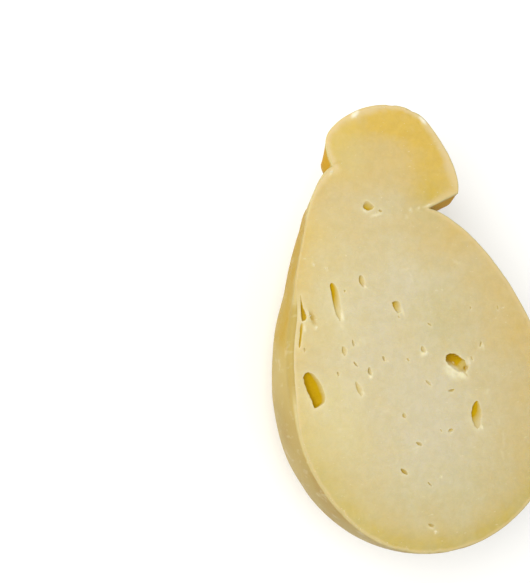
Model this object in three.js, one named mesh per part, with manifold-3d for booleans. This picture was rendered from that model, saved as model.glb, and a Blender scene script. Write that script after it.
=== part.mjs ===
// Half of a provola, a pear-shaped stretched-curd cheese with a short head that it is hung by.
// The whole cheese is lofted ring by ring from the bottom of the ball, over the neck, to the crown
// of the head. A knife plane takes off the front half, the gas eyes that the knife opened are cut
// into the face, and the rounded back is flattened where the half rests.
// Millimetres. The half lies on its back: +X to the right across the cut face, +Y toward the head,
// +Z out of the cut face. The origin is under the middle of the half, on the resting plane.
import * as THREE from 'three';
import { ParametricGeometry } from 'three/addons/geometries/ParametricGeometry.js';
import { mergeVertices } from 'three/addons/utils/BufferGeometryUtils.js';
import Module from 'manifold-3d';

// The ball, measured from the hanging line through the pole at its bottom. It sags more to the
// left flank, which is high and long, while the right flank is low, full and then falls in steeply.
const LEFT_FLANK = { reach: 67.5, beltHeight: 77, belly: 2.1, shoulderStart: 1.4, shoulderEnd: 0.64 };
const RIGHT_FLANK = { reach: 62, beltHeight: 54, belly: 2.0, shoulderStart: 1.8, shoulderEnd: 0.72 };

// The neck is the crease that the tie leaves. The head sits on it askew.
const NECK = { x: -11.2, y: 160.7, half: 24.6, tilt: THREE.MathUtils.degToRad(27.5) };

// The head, a mushroom cap with a lip that overhangs the neck.
const HEAD = { left: 32, right: 36.2, lip: 11.5, crown: 38.6, dome: 1.58 };

// Depth of the hanging line under the knife plane, at the ball's belt and at the head.
const KNIFE = { beltY: 68, belt: 7.0, headY: 177, head: -4.5 };

// The rounded back, a little fuller than round between the belt and the neck, and the height of
// the slice that resting has flattened off it.
const BACK = { fuller: 0.09, restFlat: 3.6 };

// Gas eyes open in the face: middle, length, width, lean of the length from +Y, and depth.
const EYES = [
  { x: -56.3, y: 80.8, long: 15.2, wide: 5.8, lean: -13, deep: 7.0 },
  { x: -40.9, y: 115.7, long: 16.0, wide: 3.2, lean: -5, deep: 4.5 },
  { x: -56.0, y: 110.0, long: 13.0, wide: 2.6, lean: 6, deep: 5.0 },
  { x: 12.4, y: 81.2, long: 11.6, wide: 6.8, lean: -56, deep: 6.5 },
  { x: 19.1, y: 57.0, long: 12.2, wide: 5.4, lean: 0, deep: 5.5 },
  { x: -19.6, y: 153.9, long: 4.0, wide: 3.8, lean: 0, deep: 3.5 },
  { x: -27.4, y: 122.8, long: 4.4, wide: 2.5, lean: -7, deep: 2.5 },
  { x: -12.6, y: 109.5, long: 4.6, wide: 3.0, lean: -7, deep: 3.0 },
  { x: -36.0, y: 78.1, long: 5.8, wide: 3.0, lean: -15, deep: 2.5 },
  { x: -40.3, y: 94.9, long: 3.8, wide: 2.4, lean: -13, deep: 2.5 },
];

const AROUND = 56;        // facets round each ring
const BALL_RINGS = 34;    // from the pole to the neck
const LIP_RINGS = 3;      // over the underside of the lip
const DOME_RINGS = 13;    // from the lip to the crown
const BELT_SHARE = 0.5;   // share of the ball's rings that lie below the belt

const wasm = await Module();
wasm.setup();

/** Outline of one flank of the ball, t from 0 at the pole to 1 at the neck. */
function flankPoint(flank, side, t) {
  if (t <= BELT_SHARE) {
    return bellyPoint(flank, side, (t / BELT_SHARE) * Math.PI / 2);
  }
  return shoulderPoint(flank, side, (t - BELT_SHARE) / (1 - BELT_SHARE));
}

/** The ball below the belt: a quarter of a superellipse. */
function bellyPoint(flank, side, angle) {
  const power = 2 / flank.belly;
  const x = flank.reach * Math.sin(angle) ** power;
  const y = flank.beltHeight * (1 - Math.max(Math.cos(angle), 0) ** power);
  return new THREE.Vector2(side * x, y);
}

/** The ball above the belt: it draws in slowly at first, then fast into the neck crease. */
function shoulderPoint(flank, side, share) {
  const crease = neckPoint(side);
  const rise = 1 - (1 - share) ** 1.35;
  const fall = Math.max(1 - rise ** flank.shoulderStart, 0) ** flank.shoulderEnd;
  const inner = side * crease.x;
  const x = inner + (flank.reach - inner) * fall;
  const y = flank.beltHeight + (crease.y - flank.beltHeight) * rise;
  return new THREE.Vector2(side * x, y);
}

/** Point of the head's plane: `across` along the tilted neck, `up` square to it. */
function headFrame(across, up) {
  const cos = Math.cos(NECK.tilt);
  const sin = Math.sin(NECK.tilt);
  return new THREE.Vector2(NECK.x + across * cos + up * sin, NECK.y - across * sin + up * cos);
}

/** End of the neck crease on one side. */
function neckPoint(side) {
  return headFrame(side * NECK.half, 0);
}

/** Outline of the lip's underside. The left one is rounded, the right one runs straight out. */
function lipPoint(side, t) {
  const reach = side < 0 ? HEAD.left : HEAD.right;
  const swell = side < 0 ? Math.sin(t * Math.PI / 2) : t;
  return headFrame(side * (NECK.half + (reach - NECK.half) * swell), HEAD.lip * t);
}

/** Outline of the dome, t from 0 at the lip to 1 at the crown. */
function domePoint(side, t) {
  const reach = side < 0 ? HEAD.left : HEAD.right;
  const power = 2 / HEAD.dome;
  const angle = t * Math.PI / 2;
  const across = reach * Math.max(Math.cos(angle), 0) ** power;
  const up = HEAD.lip + (HEAD.crown - HEAD.lip) * Math.sin(angle) ** power;
  return headFrame(side * across, up);
}

/** Outline point of ring number `ring` on one side. */
function outlinePoint(side, ring) {
  const flank = side < 0 ? LEFT_FLANK : RIGHT_FLANK;
  if (ring <= BALL_RINGS) {
    return flankPoint(flank, side, ring / BALL_RINGS);
  }
  if (ring <= BALL_RINGS + LIP_RINGS) {
    return lipPoint(side, (ring - BALL_RINGS) / LIP_RINGS);
  }
  return domePoint(side, (ring - BALL_RINGS - LIP_RINGS) / DOME_RINGS);
}

/** Depth of the hanging line under the knife plane at height y up the cheese. */
function axisDepth(y) {
  const share = (y - KNIFE.beltY) / (KNIFE.headY - KNIFE.beltY);
  return KNIFE.belt + (KNIFE.head - KNIFE.belt) * share;
}

/** Depth of a ring against its half width: 1 is round, more is fuller. */
function ringDepth(ring) {
  const share = THREE.MathUtils.clamp(ring / BALL_RINGS / BELT_SHARE - 1, 0, 1);
  return 1 + BACK.fuller * Math.sin(share * Math.PI);
}

/** The whole cheese: every ring is nearly round and stands on the chord between its outline points. */
function wholeCheese() {
  const rings = BALL_RINGS + LIP_RINGS + DOME_RINGS;
  const surface = (u, v, target) => {
    const ring = Math.round(v * rings);
    const left = outlinePoint(-1, ring);
    const right = outlinePoint(1, ring);
    const middle = left.clone().add(right).multiplyScalar(0.5);
    const arm = right.clone().sub(left).multiplyScalar(0.5);
    const angle = u * 2 * Math.PI;
    const cos = Math.cos(angle);
    const depth = arm.length() * ringDepth(ring) * Math.sin(angle);
    target.set(middle.x + arm.x * cos, middle.y + arm.y * cos, -axisDepth(middle.y) - depth);
  };
  return new ParametricGeometry(surface, AROUND, rings);
}

/** Turns a closed geometry into a solid that can be cut. */
function toSolid(geometry) {
  const bare = geometry.index ? geometry.clone() : geometry;
  bare.deleteAttribute('normal');
  bare.deleteAttribute('uv');
  const merged = mergeVertices(bare, 1e-4);
  const triangles = withoutSlivers(merged.index.array);
  return new wasm.Manifold(new wasm.Mesh({
    numProp: 3,
    vertProperties: merged.attributes.position.array,
    triVerts: new Uint32Array(triangles),
  }));
}

/** Drops the triangles that merging has folded to a line, as at the two poles. */
function withoutSlivers(index) {
  const kept = [];
  for (let i = 0; i < index.length; i += 3) {
    const [a, b, c] = index.slice(i, i + 3);
    if (a !== b && b !== c && c !== a) {
      kept.push(a, b, c);
    }
  }
  return kept;
}

/** One gas eye: a stretched ball with its middle a little below the face. */
function eyeSolid(eye) {
  const ball = new THREE.SphereGeometry(0.5, 12, 8);
  ball.scale(eye.wide, eye.long, eye.deep * 1.5);
  ball.rotateZ(-THREE.MathUtils.degToRad(eye.lean));
  ball.translate(eye.x, eye.y, -eye.deep * 0.25);
  return toSolid(ball);
}

/** A block that covers the cheese and fills the heights from `bottom` to `top`. */
function slab(bottom, top) {
  const block = new THREE.BoxGeometry(400, 600, top - bottom);
  block.translate(0, 100, (bottom + top) / 2);
  return toSolid(block);
}

/** The half that stays: cut by the knife, opened by the eyes, flat where it rests. */
function halfCheese() {
  let half = toSolid(wholeCheese()).subtract(slab(0, 200));
  for (const eye of EYES) {
    half = half.subtract(eyeSolid(eye));
  }
  const lowest = half.boundingBox().min[2];
  return half.subtract(slab(lowest - 50, lowest + BACK.restFlat));
}

/** Geometry of a solid, moved so that the origin is under its middle. */
function toGeometry(solid) {
  const mesh = solid.getMesh();
  const geometry = new THREE.BufferGeometry();
  geometry.setAttribute('position', new THREE.BufferAttribute(mesh.vertProperties, 3));
  geometry.setIndex(new THREE.BufferAttribute(mesh.triVerts, 1));
  geometry.computeBoundingBox();
  const { min, max } = geometry.boundingBox;
  geometry.translate(-(min.x + max.x) / 2, -(min.y + max.y) / 2, -min.z);
  geometry.computeVertexNormals();
  return geometry;
}

const paste = new THREE.MeshStandardMaterial({ color: '#dac894', roughness: 0.5, metalness: 0 });
const half = new THREE.Mesh(toGeometry(halfCheese()), paste);
half.name = 'provola_half';

const group = new THREE.Group();
group.add(half);

export default group;
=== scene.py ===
import logging
import math
from dataclasses import dataclass, field
from enum import Enum, IntEnum
from typing import Any, Callable, Dict, List, Optional, Sequence, Tuple

import bmesh
import bpy
import numpy as np
from mathutils import Euler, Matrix, Vector, geometry, kdtree, noise


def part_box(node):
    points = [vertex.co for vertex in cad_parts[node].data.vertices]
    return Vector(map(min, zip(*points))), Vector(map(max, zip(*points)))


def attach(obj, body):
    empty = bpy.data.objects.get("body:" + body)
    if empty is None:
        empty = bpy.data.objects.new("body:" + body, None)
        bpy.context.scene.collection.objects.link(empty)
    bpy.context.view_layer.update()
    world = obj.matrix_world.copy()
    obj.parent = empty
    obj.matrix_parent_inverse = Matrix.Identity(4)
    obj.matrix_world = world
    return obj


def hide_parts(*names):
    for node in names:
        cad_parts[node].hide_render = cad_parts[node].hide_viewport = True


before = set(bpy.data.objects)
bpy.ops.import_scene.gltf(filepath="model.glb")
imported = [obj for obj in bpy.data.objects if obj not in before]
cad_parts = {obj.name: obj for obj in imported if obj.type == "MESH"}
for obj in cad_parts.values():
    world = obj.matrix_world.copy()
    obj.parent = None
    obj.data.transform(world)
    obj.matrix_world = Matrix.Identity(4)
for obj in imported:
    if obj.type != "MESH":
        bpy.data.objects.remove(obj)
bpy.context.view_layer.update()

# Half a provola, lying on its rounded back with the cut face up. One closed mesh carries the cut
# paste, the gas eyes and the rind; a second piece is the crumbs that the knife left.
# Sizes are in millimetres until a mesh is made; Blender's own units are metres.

LOG = logging.getLogger("provola")
MM = 0.001
NODE = "provola_half"
Grid = np.ndarray
Socket = bpy.types.NodeSocket
Tree = bpy.types.NodeTree


class Side(IntEnum):
    """The two flanks, seen with the cut face up and the head away."""

    LEFT = -1
    RIGHT = 1


class Skin(IntEnum):
    """Which finish a facet of the half takes."""

    PASTE = 0
    EYE = 1
    RIND = 2


class Light(Enum):
    """Where a soft light hangs."""

    KEY = "key"
    FILL = "fill"
    RIM = "rim"


def linear(hex_colour: str, alpha: float = 1.0) -> Tuple[float, float, float, float]:
    """Turns an sRGB hex colour into the linear values that a shader takes.

    Args:
        hex_colour: six hex digits after a '#'.
        alpha: the fourth value.

    Returns:
        Red, green, blue and alpha, linear.
    """
    digits = hex_colour.lstrip("#")
    channels = [int(digits[i:i + 2], 16) / 255.0 for i in (0, 2, 4)]
    lin = [c / 12.92 if c <= 0.04045 else ((c + 0.055) / 1.055) ** 2.4 for c in channels]
    return lin[0], lin[1], lin[2], alpha


def cells(size: float) -> float:
    """Noise scale whose lumps are `size` millimetres wide."""
    return 1.0 / (size * MM)


def add_node(
    tree: Tree,
    kind: str,
    settings: Optional[Dict[str, Any]] = None,
    inputs: Optional[Dict[Any, Any]] = None,
    stops: Sequence[Tuple[float, str]] = (),
) -> bpy.types.Node:
    """Adds a node to a tree with its settings, its values and its links.

    Args:
        tree: the node tree.
        kind: the node's type name.
        settings: attributes of the node itself.
        inputs: input name or number to a value, or to the output socket to link from.
        stops: for a node that has a colour ramp, places from 0 to 1 and sRGB hex, in order.

    Returns:
        The new node.
    """
    node = tree.nodes.new(kind)
    for name, value in (settings or {}).items():
        setattr(node, name, value)
    for name, value in (inputs or {}).items():
        if isinstance(value, Socket):
            tree.links.new(value, node.inputs[name])
        else:
            node.inputs[name].default_value = value
    for number, (place, colour) in enumerate(stops):
        elements = node.color_ramp.elements
        # a new ramp has two stops of its own
        stop = elements[number] if number < 2 else elements.new(place)
        stop.position = place
        stop.color = linear(colour)
    return node


def ripple(points: Grid, size: float, seed: float, octaves: int = 2) -> Grid:
    """Smooth noise from about -1 to 1 at each point.

    Args:
        points: places in millimetres, one row each.
        size: width of the noise's lumps in millimetres.
        seed: shift that makes one noise differ from another.
        octaves: how many finer layers are added.

    Returns:
        One value for each point.
    """
    flat = points.reshape(-1, 3) / size + seed * 17.31
    values = [noise.fractal(Vector(p), 1.0, 2.0, octaves) for p in flat.tolist()]
    return np.array(values).reshape(points.shape[:-1])


def ease(low: float, high: float, value: Grid) -> Grid:
    """Smooth step from 0 at `low` to 1 at `high`.

    Args:
        low: where the step starts.
        high: where it ends.
        value: what is stepped.

    Returns:
        The eased value.
    """
    share = np.clip((value - low) / (high - low), 0.0, 1.0)
    return share * share * (3.0 - 2.0 * share)


def between(start: float, full: float, fading: float, end: float, value: Grid) -> Grid:
    """Smooth window: 1 from `full` to `fading`, and 0 before `start` and after `end`.

    Args:
        start: where the window begins to open.
        full: where it is open.
        fading: where it begins to close.
        end: where it is closed.
        value: what is looked at through it.

    Returns:
        The window's share for each value.
    """
    return ease(start, full, value) * ease(end, fading, value)


def on_plane(points: Grid, third: float = 0.0) -> Grid:
    """Gives places on the cut plane a third coordinate, so that noise can be read there."""
    return np.column_stack([points, np.full(len(points), third)])


def own_frame(points: Grid, x: float, y: float, lean: float) -> Tuple[Grid, Grid]:
    """Turns the face's coordinates into those of a thing that leans clockwise.

    Args:
        points: places on the cut plane.
        x: place of the thing across.
        y: its place up.
        lean: its lean in degrees.

    Returns:
        Places along the thing's axis, and across it to the right.
    """
    turn = math.radians(lean)
    gap = points - np.array([x, y])
    along = gap[:, 0] * math.sin(turn) + gap[:, 1] * math.cos(turn)
    return along, gap[:, 0] * math.cos(turn) - gap[:, 1] * math.sin(turn)


def link(thing: bpy.types.Object) -> bpy.types.Object:
    """Puts an object in the scene and returns it."""
    bpy.context.scene.collection.objects.link(thing)
    return thing


@dataclass(frozen=True)
class Patch:
    """A soft oval patch on the face: its middle, and how far it reaches across and up."""

    x: float
    y: float
    wide: float
    tall: float

    def weight(self, x: Grid, y: Grid) -> Grid:
        """How much of the patch each place carries: 1 in its middle."""
        return np.exp(-(((x - self.x) / self.wide) ** 2) - ((y - self.y) / self.tall) ** 2)


@dataclass(frozen=True)
class Flank:
    """One side of the ball's outline: a superellipse below the belt, a shoulder above it.

    `reach` is from the hanging line to the belt, `belly` the roundness below it, and the two
    shoulder powers say how the side leaves the belt and how it meets the neck.
    """

    reach: float
    belt_height: float
    belly: float
    shoulder_start: float
    shoulder_end: float


@dataclass(frozen=True)
class PearForm:
    """The whole cheese that the half was cut from, ring by ring, as the solid has it."""

    left: Flank = Flank(67.5, 77.0, 2.1, 1.4, 0.64)
    right: Flank = Flank(62.0, 54.0, 2.0, 1.8, 0.72)
    neck_x: float = -11.2
    neck_y: float = 160.7
    neck_half: float = 24.6
    neck_tilt: float = 27.5
    head_left: float = 32.0
    head_right: float = 36.2
    lip: float = 11.5
    crown: float = 38.6
    dome: float = 1.58
    belt_y: float = 68.0
    belt_depth: float = 7.0
    head_y: float = 177.0
    head_depth: float = -4.5
    back_fuller: float = 0.09
    rise: float = 1.35

    def flank(self, side: Side) -> Flank:
        """The flank on that side."""
        return self.left if side == Side.LEFT else self.right

    def head_reach(self, side: Side) -> float:
        """How far the head reaches from its middle on that side."""
        return self.head_left if side == Side.LEFT else self.head_right

    def head_frame(self, across: Grid, up: Grid) -> Grid:
        """Turns the skewed head's own coordinates into the face's.

        Args:
            across: along the tilted neck.
            up: square to the neck, toward the crown.

        Returns:
            Points on the cut plane.
        """
        tilt = math.radians(self.neck_tilt)
        x = self.neck_x + across * math.cos(tilt) + up * math.sin(tilt)
        y = self.neck_y - across * math.sin(tilt) + up * math.cos(tilt)
        return np.stack([x, y], axis=-1)

    def ball_edge(self, side: Side, share: Grid) -> Grid:
        """Outline of the ball on one side.

        Args:
            side: which flank.
            share: 0 at the pole, 0.5 at the belt, 1 at the neck crease.

        Returns:
            Points on the cut plane.
        """
        flank = self.flank(side)
        angle = np.clip(share / 0.5, 0.0, 1.0) * math.pi / 2
        power = 2.0 / flank.belly
        low_x = flank.reach * np.sin(angle) ** power
        low_y = flank.belt_height * (1.0 - np.maximum(np.cos(angle), 0.0) ** power)
        crease = self.head_frame(np.array(side * self.neck_half), np.array(0.0))
        rise = 1.0 - (1.0 - np.clip((share - 0.5) / 0.5, 0.0, 1.0)) ** self.rise
        fall = np.maximum(1.0 - rise ** flank.shoulder_start, 0.0) ** flank.shoulder_end
        inner = side * crease[0]
        high_x = inner + (flank.reach - inner) * fall
        high_y = flank.belt_height + (crease[1] - flank.belt_height) * rise
        below = share <= 0.5
        x = side * np.where(below, low_x, high_x)
        return np.stack([x, np.where(below, low_y, high_y)], axis=-1)

    def lip_edge(self, side: Side, share: Grid) -> Grid:
        """Outline of the underside of the head's lip.

        Args:
            side: which side.
            share: 0 at the neck crease, 1 at the lip.

        Returns:
            Points on the cut plane.
        """
        swell = np.sin(share * math.pi / 2) if side == Side.LEFT else share
        across = side * (self.neck_half + (self.head_reach(side) - self.neck_half) * swell)
        return self.head_frame(across, self.lip * share)

    def dome_edge(self, side: Side, share: Grid) -> Grid:
        """Outline of the head above its lip.

        Args:
            side: which side.
            share: 0 at the lip, 1 at the crown.

        Returns:
            Points on the cut plane.
        """
        power = 2.0 / self.dome
        angle = share * math.pi / 2
        across = side * self.head_reach(side) * np.maximum(np.cos(angle), 0.0) ** power
        up = self.lip + (self.crown - self.lip) * np.sin(angle) ** power
        return self.head_frame(across, up)

    def axis_depth(self, y: Grid) -> Grid:
        """How far the hanging line lies under the knife at height y."""
        share = (y - self.belt_y) / (self.head_y - self.belt_y)
        return self.belt_depth + (self.head_depth - self.belt_depth) * share

    def fullness(self, share: Grid) -> Grid:
        """Depth of a ball ring against its half width."""
        above = np.clip(share / 0.5 - 1.0, 0.0, 1.0)
        return 1.0 + self.back_fuller * np.sin(above * math.pi)


@dataclass
class RingStack:
    """Rings of the loft: outline points on both sides, and the depth under the hanging line."""

    left: Grid
    right: Grid
    full: Grid
    axis: Grid
    head_share: Grid

    @property
    def middle(self) -> Grid:
        """Middle of each ring's chord."""
        return (self.left + self.right) / 2.0

    @property
    def arm(self) -> Grid:
        """From the middle of each chord to its right end."""
        return (self.right - self.left) / 2.0

    @property
    def depth(self) -> Grid:
        """Half axis of each ring square to the cut face."""
        return np.linalg.norm(self.arm, axis=1) * self.full


@dataclass
class GasEye:
    """One gas eye in the face.

    Its mouth is an oval `long` millimetres from end to end, leaning clockwise by `lean` degrees.
    `left` and `right` are its half widths at even turns from the top end to the foot. The wall
    drops under the `steep` rim, and from there the floor climbs to the other: late with a high
    `basin`, and toward the foot by `fade`. `torn` is how ragged the mouth is, `lip` how far the
    blade raised its rim, which is also painted pale as a highlight, and `gold` how strong the gold
    painted on the wall is: painted shade of the hollow, most under the steep rim, and painted light
    that has crossed the paste. `golden` is where along the eye that painted gold begins to fade
    toward the lit foot, and where it has gone.
    """

    x: float
    y: float
    long: float
    left: Tuple[float, ...]
    right: Tuple[float, ...]
    lean: float
    deep: float
    basin: float = 1.3
    fade: float = 0.3
    torn: float = 0.05
    lip: float = 0.5
    gold: float = 0.5
    golden: Tuple[float, float] = (0.3, 1.3)
    steep: Side = Side.LEFT
    seed: float = 0.0

    @property
    def wide(self) -> float:
        """Greatest width across the long axis."""
        return max(self.left) + max(self.right)

    def placed(self, along: Grid, across: Grid) -> Grid:
        """Turns the eye's own coordinates into the face's.

        Args:
            along: places along the eye's axis.
            across: places across it, to the right.

        Returns:
            Places on the cut plane.
        """
        lean = math.radians(self.lean)
        x = self.x + along * math.sin(lean) + across * math.cos(lean)
        y = self.y + along * math.cos(lean) - across * math.sin(lean)
        return np.column_stack([x, y])

    def half_width(self, sizes: Tuple[float, ...], turn: Grid) -> Grid:
        """Half width on one side, at turns from 0 at the top end to pi at the foot."""
        stations = (np.arange(len(sizes)) + 0.5) * math.pi / len(sizes)
        return np.interp(turn, stations, sizes) * np.sin(turn)

    def mouth(self, shrink: float = 0.0) -> Grid:
        """Outline of the mouth on the cut plane, anticlockwise from the top end.

        Args:
            shrink: how far the outline is drawn in, in millimetres.

        Returns:
            The outline's points.
        """
        count = int(np.clip(round((self.long + self.wide) * 1.5), 6, 40))
        turn = np.arange(2 * count) * math.pi / count
        down = np.where(turn <= math.pi, turn, 2 * math.pi - turn)
        left, right = -self.half_width(self.left, down), self.half_width(self.right, down)
        middle, arm = (left + right) / 2.0, (right - left) / 2.0
        pull = np.minimum(shrink / (0.5 * self.wide + 1e-6), 0.45)
        side = np.where(turn <= math.pi, -1.0, 1.0)
        across = middle + side * arm * (1.0 - pull)
        along = 0.5 * self.long * np.cos(down) * (1.0 - min(0.3, 2.0 * shrink / self.long))
        spots = np.column_stack([along, across, np.full(len(turn), self.seed)])
        across = across + self.torn * ripple(spots, 1.3, self.seed, 2)
        along = along + 0.6 * self.torn * ripple(spots, 1.3, self.seed + 5.0, 2)
        return self.placed(along, across)

    def hollow(self, points: Grid, gap: Grid) -> Tuple[Grid, Grid]:
        """Depth of the floor under the rim, and how golden the paste shows there.

        Args:
            points: places inside the mouth or on its rim.
            gap: their distance from the rim.

        Returns:
            Depth in millimetres, and the painted gold from 0 upward: painted shade and painted light
            that has crossed the paste.
        """
        along, across = own_frame(points, self.x, self.y, self.lean)
        turn = np.arccos(np.clip(along / (0.5 * self.long), -0.98, 0.98))
        left, right = self.half_width(self.left, turn), self.half_width(self.right, turn)
        share = np.clip((across + left) / np.maximum(left + right, 1e-3), 0.0, 1.0)
        share = share if self.steep == Side.LEFT else 1.0 - share
        wall = np.clip(gap / min(0.7, 0.35 * self.wide), 0.0, 1.0) ** 0.8
        down = 0.5 - along / self.long
        spots = on_plane(points, self.seed)
        lumps = 1.0 + 0.07 * ripple(spots, 2.2, self.seed + 3.0, 2)
        climb = np.maximum(1.0 - share ** self.basin, 0.12)
        floor = np.maximum(climb * (1.0 - self.fade * np.clip(down, 0.0, 1.0) ** 1.5), 0.12)
        floor = floor * (0.6 + 0.4 * ease(0.0, 0.45, share)) * (0.7 + 0.3 * ease(0.0, 0.3, down))
        # painted shade and light: the wall's gold is strongest under the steep rim and fades toward the lit
        # foot
        shaded = 1.0 - 0.88 * ease(self.golden[0], self.golden[1], down + 0.06 * lumps - 0.06)
        gold = self.gold * climb * shaded * lumps * (0.7 + 0.3 * wall)
        return self.deep * floor * wall * lumps, gold


@dataclass(frozen=True)
class Smear:
    """A pale ridge or crumb of curd that the blade pressed up.

    With a negative lift it is a dull dent. `chalk` is how dry and white the curd is.
    """

    x: float
    y: float
    long: float
    wide: float
    lean: float
    lift: float
    chalk: float = 0.0

    def weight(self, points: Grid) -> Grid:
        """How much of the smear each point carries.

        Args:
            points: places on the cut plane.

        Returns:
            A weight from 0 to 1 for each point.
        """
        along, across = own_frame(points, self.x, self.y, self.lean)
        reach = (along / (0.5 * self.long)) ** 2 + (across / (0.5 * self.wide)) ** 2
        return np.exp(-(reach ** 1.5))


def large_eyes() -> List[GasEye]:
    """The seven eyes that catch the sight, each with its own outline.

    Returns:
        The eyes.
    """
    return [
        # the tall one at the left edge
        GasEye(-57.5, 81.2, 15.4, (5.4, 4.4, 3.4, 2.5, 1.8, 1.2, 1.2, 1.2),
               (1.8, 3.6, 4.0, 4.7, 5.2, 6.5, 7.7, 5.0), -3.0, 3.0, basin=2.0, fade=0.1, torn=0.2,
               lip=0.6, gold=2.2, golden=(2.0, 3.0)),
        # the slender one above it
        GasEye(-40.8, 115.6, 16.4, (2.6, 1.4, 1.4, 1.5, 0.7), (3.0, 2.4, 1.9, 1.9, 0.6), -5, 1.9,
               basin=1.1, fade=0.75, lip=0.6, gold=2.5, golden=(0.0, 0.76)),
        # the nick at the left edge, widest at its foot
        GasEye(-56.7, 115.3, 10.8, (0.2, 0.2, 0.4, 0.5, 0.7), (0.1, 0.3, 0.8, 2.5, 4.2), 5, 1.2,
               basin=4.0, fade=0.0, torn=0.04, lip=0.9, gold=2.2, golden=(2.0, 3.0)),
        # the slit under the nick
        GasEye(-58.9, 104.3, 10.4, (0.9, 0.7, 0.4, 0.6, 0.8), (1.6, 0.9, 0.6, 0.7, 0.9), 15, 0.45,
               basin=2.4, fade=-0.8, torn=0.04, lip=0.5, gold=1.6, golden=(2.0, 3.0)),
        # the torn one right of the middle
        GasEye(12.5, 80.8, 12.2, (3.6, 4.2, 3.3, 2.9, 2.9, 2.7, 1.4, 0.8),
               (1.2, 3.2, 3.4, 3.3, 3.5, 3.9, 4.0, 2.0), -45, 3.2, basin=3.6, fade=0.72, torn=0.5,
               lip=1.1, gold=3.6, golden=(0.28, 0.74), steep=Side.RIGHT),
        # the oval one below that
        GasEye(19.4, 57.0, 12.2, (2.8, 3.2, 3.3, 3.2, 2.7, 2.6), (1.6, 1.8, 1.9, 1.9, 1.8, 1.6), 8,
               2.2, basin=1.0, fade=0.8, torn=0.34, lip=0.7, gold=2.6, golden=(0.2, 0.85)),
        # the wide one at the neck
        GasEye(-19.0, 153.3, 5.4, (0.4, 1.3, 1.5, 1.3, 0.6), (2.4, 2.8, 2.6, 1.5, 0.7), -86, 1.5,
               basin=1.6, fade=0.5, torn=0.14, lip=0.9, gold=0.95),
    ]


def small_eyes() -> List[GasEye]:
    """The scattered pinholes and seeds between the large eyes.

    Returns:
        The eyes.
    """
    return [
        GasEye(-27.2, 122.6, 5.3, (1.2, 1.5, 1.0), (1.5, 1.3, 0.8), -12, 1.8, lip=0.7, gold=0.55),
        GasEye(-12.4, 109.3, 5.5, (5.4, 2.5, 1.9, 1.5, 1.2, 1.2), (2.2, 2.3, 1.9, 1.7, 2.0, 4.0), -6,
               1.7, basin=1.8, fade=0.6, lip=0.5, gold=0.95, golden=(0.1, 1.1)),
        GasEye(-12.2, 105.1, 1.3, (0.4, 0.4), (0.4, 0.4), -40, 0.7),
        GasEye(-13.7, 151.0, 1.9, (0.3, 0.5), (0.9, 0.7), -76, 1.0),
        GasEye(-35.9, 119.6, 1.1, (0.5, 0.5), (0.5, 0.5), 0, 0.8),
        GasEye(-35.6, 97.4, 3.1, (0.4, 0.5, 0.4), (0.5, 0.6, 0.8), -3, 1.3),
        GasEye(-40.5, 94.8, 4.2, (0.4, 0.8, 0.8), (1.6, 1.6, 1.1), -13, 1.5, basin=0.8, lip=0.7),
        GasEye(-58.1, 98.2, 1.9, (0.4, 0.4), (0.5, 0.5), 4, 1.0),
        GasEye(-22.4, 88.6, 2.4, (0.4, 0.5), (0.9, 0.8), -17, 1.5),
        GasEye(-35.8, 88.5, 3.2, (0.5, 0.6, 0.3), (0.5, 0.5, 0.3), -34, 1.1, lip=0.6),
        GasEye(-29.6, 84.4, 4.0, (0.6, 1.4, 0.6), (0.6, 0.7, 0.5), -8, 1.9, lip=0.9),
        GasEye(-44.6, 85.9, 2.0, (0.4, 0.5), (0.7, 0.7), -17, 1.2),
        GasEye(-36.2, 78.1, 6.8, (0.8, 1.0, 0.8), (0.8, 1.5, 1.8), -16, 1.2, basin=0.8, fade=0.6,
               lip=0.6),
        GasEye(-2.4, 89.5, 3.6, (1.2, 1.6, 0.4), (0.6, 0.6, 0.6), -24, 1.7, basin=0.8, lip=1.0),
        GasEye(-10.7, 86.4, 1.8, (0.5, 0.6), (0.5, 0.4), -42, 0.6),
        GasEye(26.1, 87.2, 2.8, (0.3, 0.5), (0.6, 0.4), 25, 1.1, lip=0.7),
        GasEye(20.8, 81.8, 2.2, (0.5, 0.8), (0.7, 0.4), -27, 0.7, basin=0.8),
        GasEye(-2.5, 74.9, 3.8, (0.7, 0.6, 0.4), (0.5, 0.7, 0.8), -40, 1.0, basin=0.8, lip=0.6),
        GasEye(8.1, 69.8, 3.3, (0.4, 0.4, 0.4), (0.9, 0.9, 0.8), 87, 1.1),
        GasEye(-16.4, 63.2, 2.6, (1.3, 1.2, 0.8), (0.9, 0.8, 0.6), -35, 1.1, basin=1.2, gold=0.55),
        GasEye(4.7, 52.6, 2.8, (0.8, 1.0, 0.7), (0.9, 0.9, 0.5), 77, 1.2, lip=0.6),
        GasEye(0.1, 53.6, 1.5, (0.3, 0.4), (0.3, 0.3), -32, 0.7),
        GasEye(-11.5, 50.0, 3.4, (0.7, 0.7, 0.5), (0.6, 0.9, 0.9), -56, 1.1, basin=1.5, lip=0.6, gold=0.5),
        GasEye(2.1, 99.7, 2.4, (0.4, 0.4), (0.4, 0.4), -50, 0.7),
        GasEye(23.8, 103.8, 1.3, (0.4, 0.4), (0.5, 0.5), 0, 0.7),
        GasEye(37.9, 101.8, 2.2, (0.4, 0.4), (0.4, 0.4), 0, 0.7),
        GasEye(-20.5, 39.7, 4.4, (0.9, 0.9, 0.5), (0.7, 1.0, 1.0), -43, 1.5, basin=2.0, lip=0.6, gold=0.8),
        GasEye(-9.2, 32.1, 3.0, (0.4, 0.5, 0.3), (0.3, 0.4, 0.3), -38, 0.9),
        GasEye(-11.3, 14.7, 3.3, (0.7, 0.8, 0.4), (0.3, 0.7, 0.6), -60, 1.3, lip=0.6),
    ]


def face_eyes() -> List[GasEye]:
    """All the eyes, each with a seed of its own.

    Returns:
        The eyes, the large ones first.
    """
    eyes = large_eyes() + small_eyes()
    for number, eye in enumerate(eyes):
        eye.seed = 1.7 + 0.37 * number
    return eyes


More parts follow.
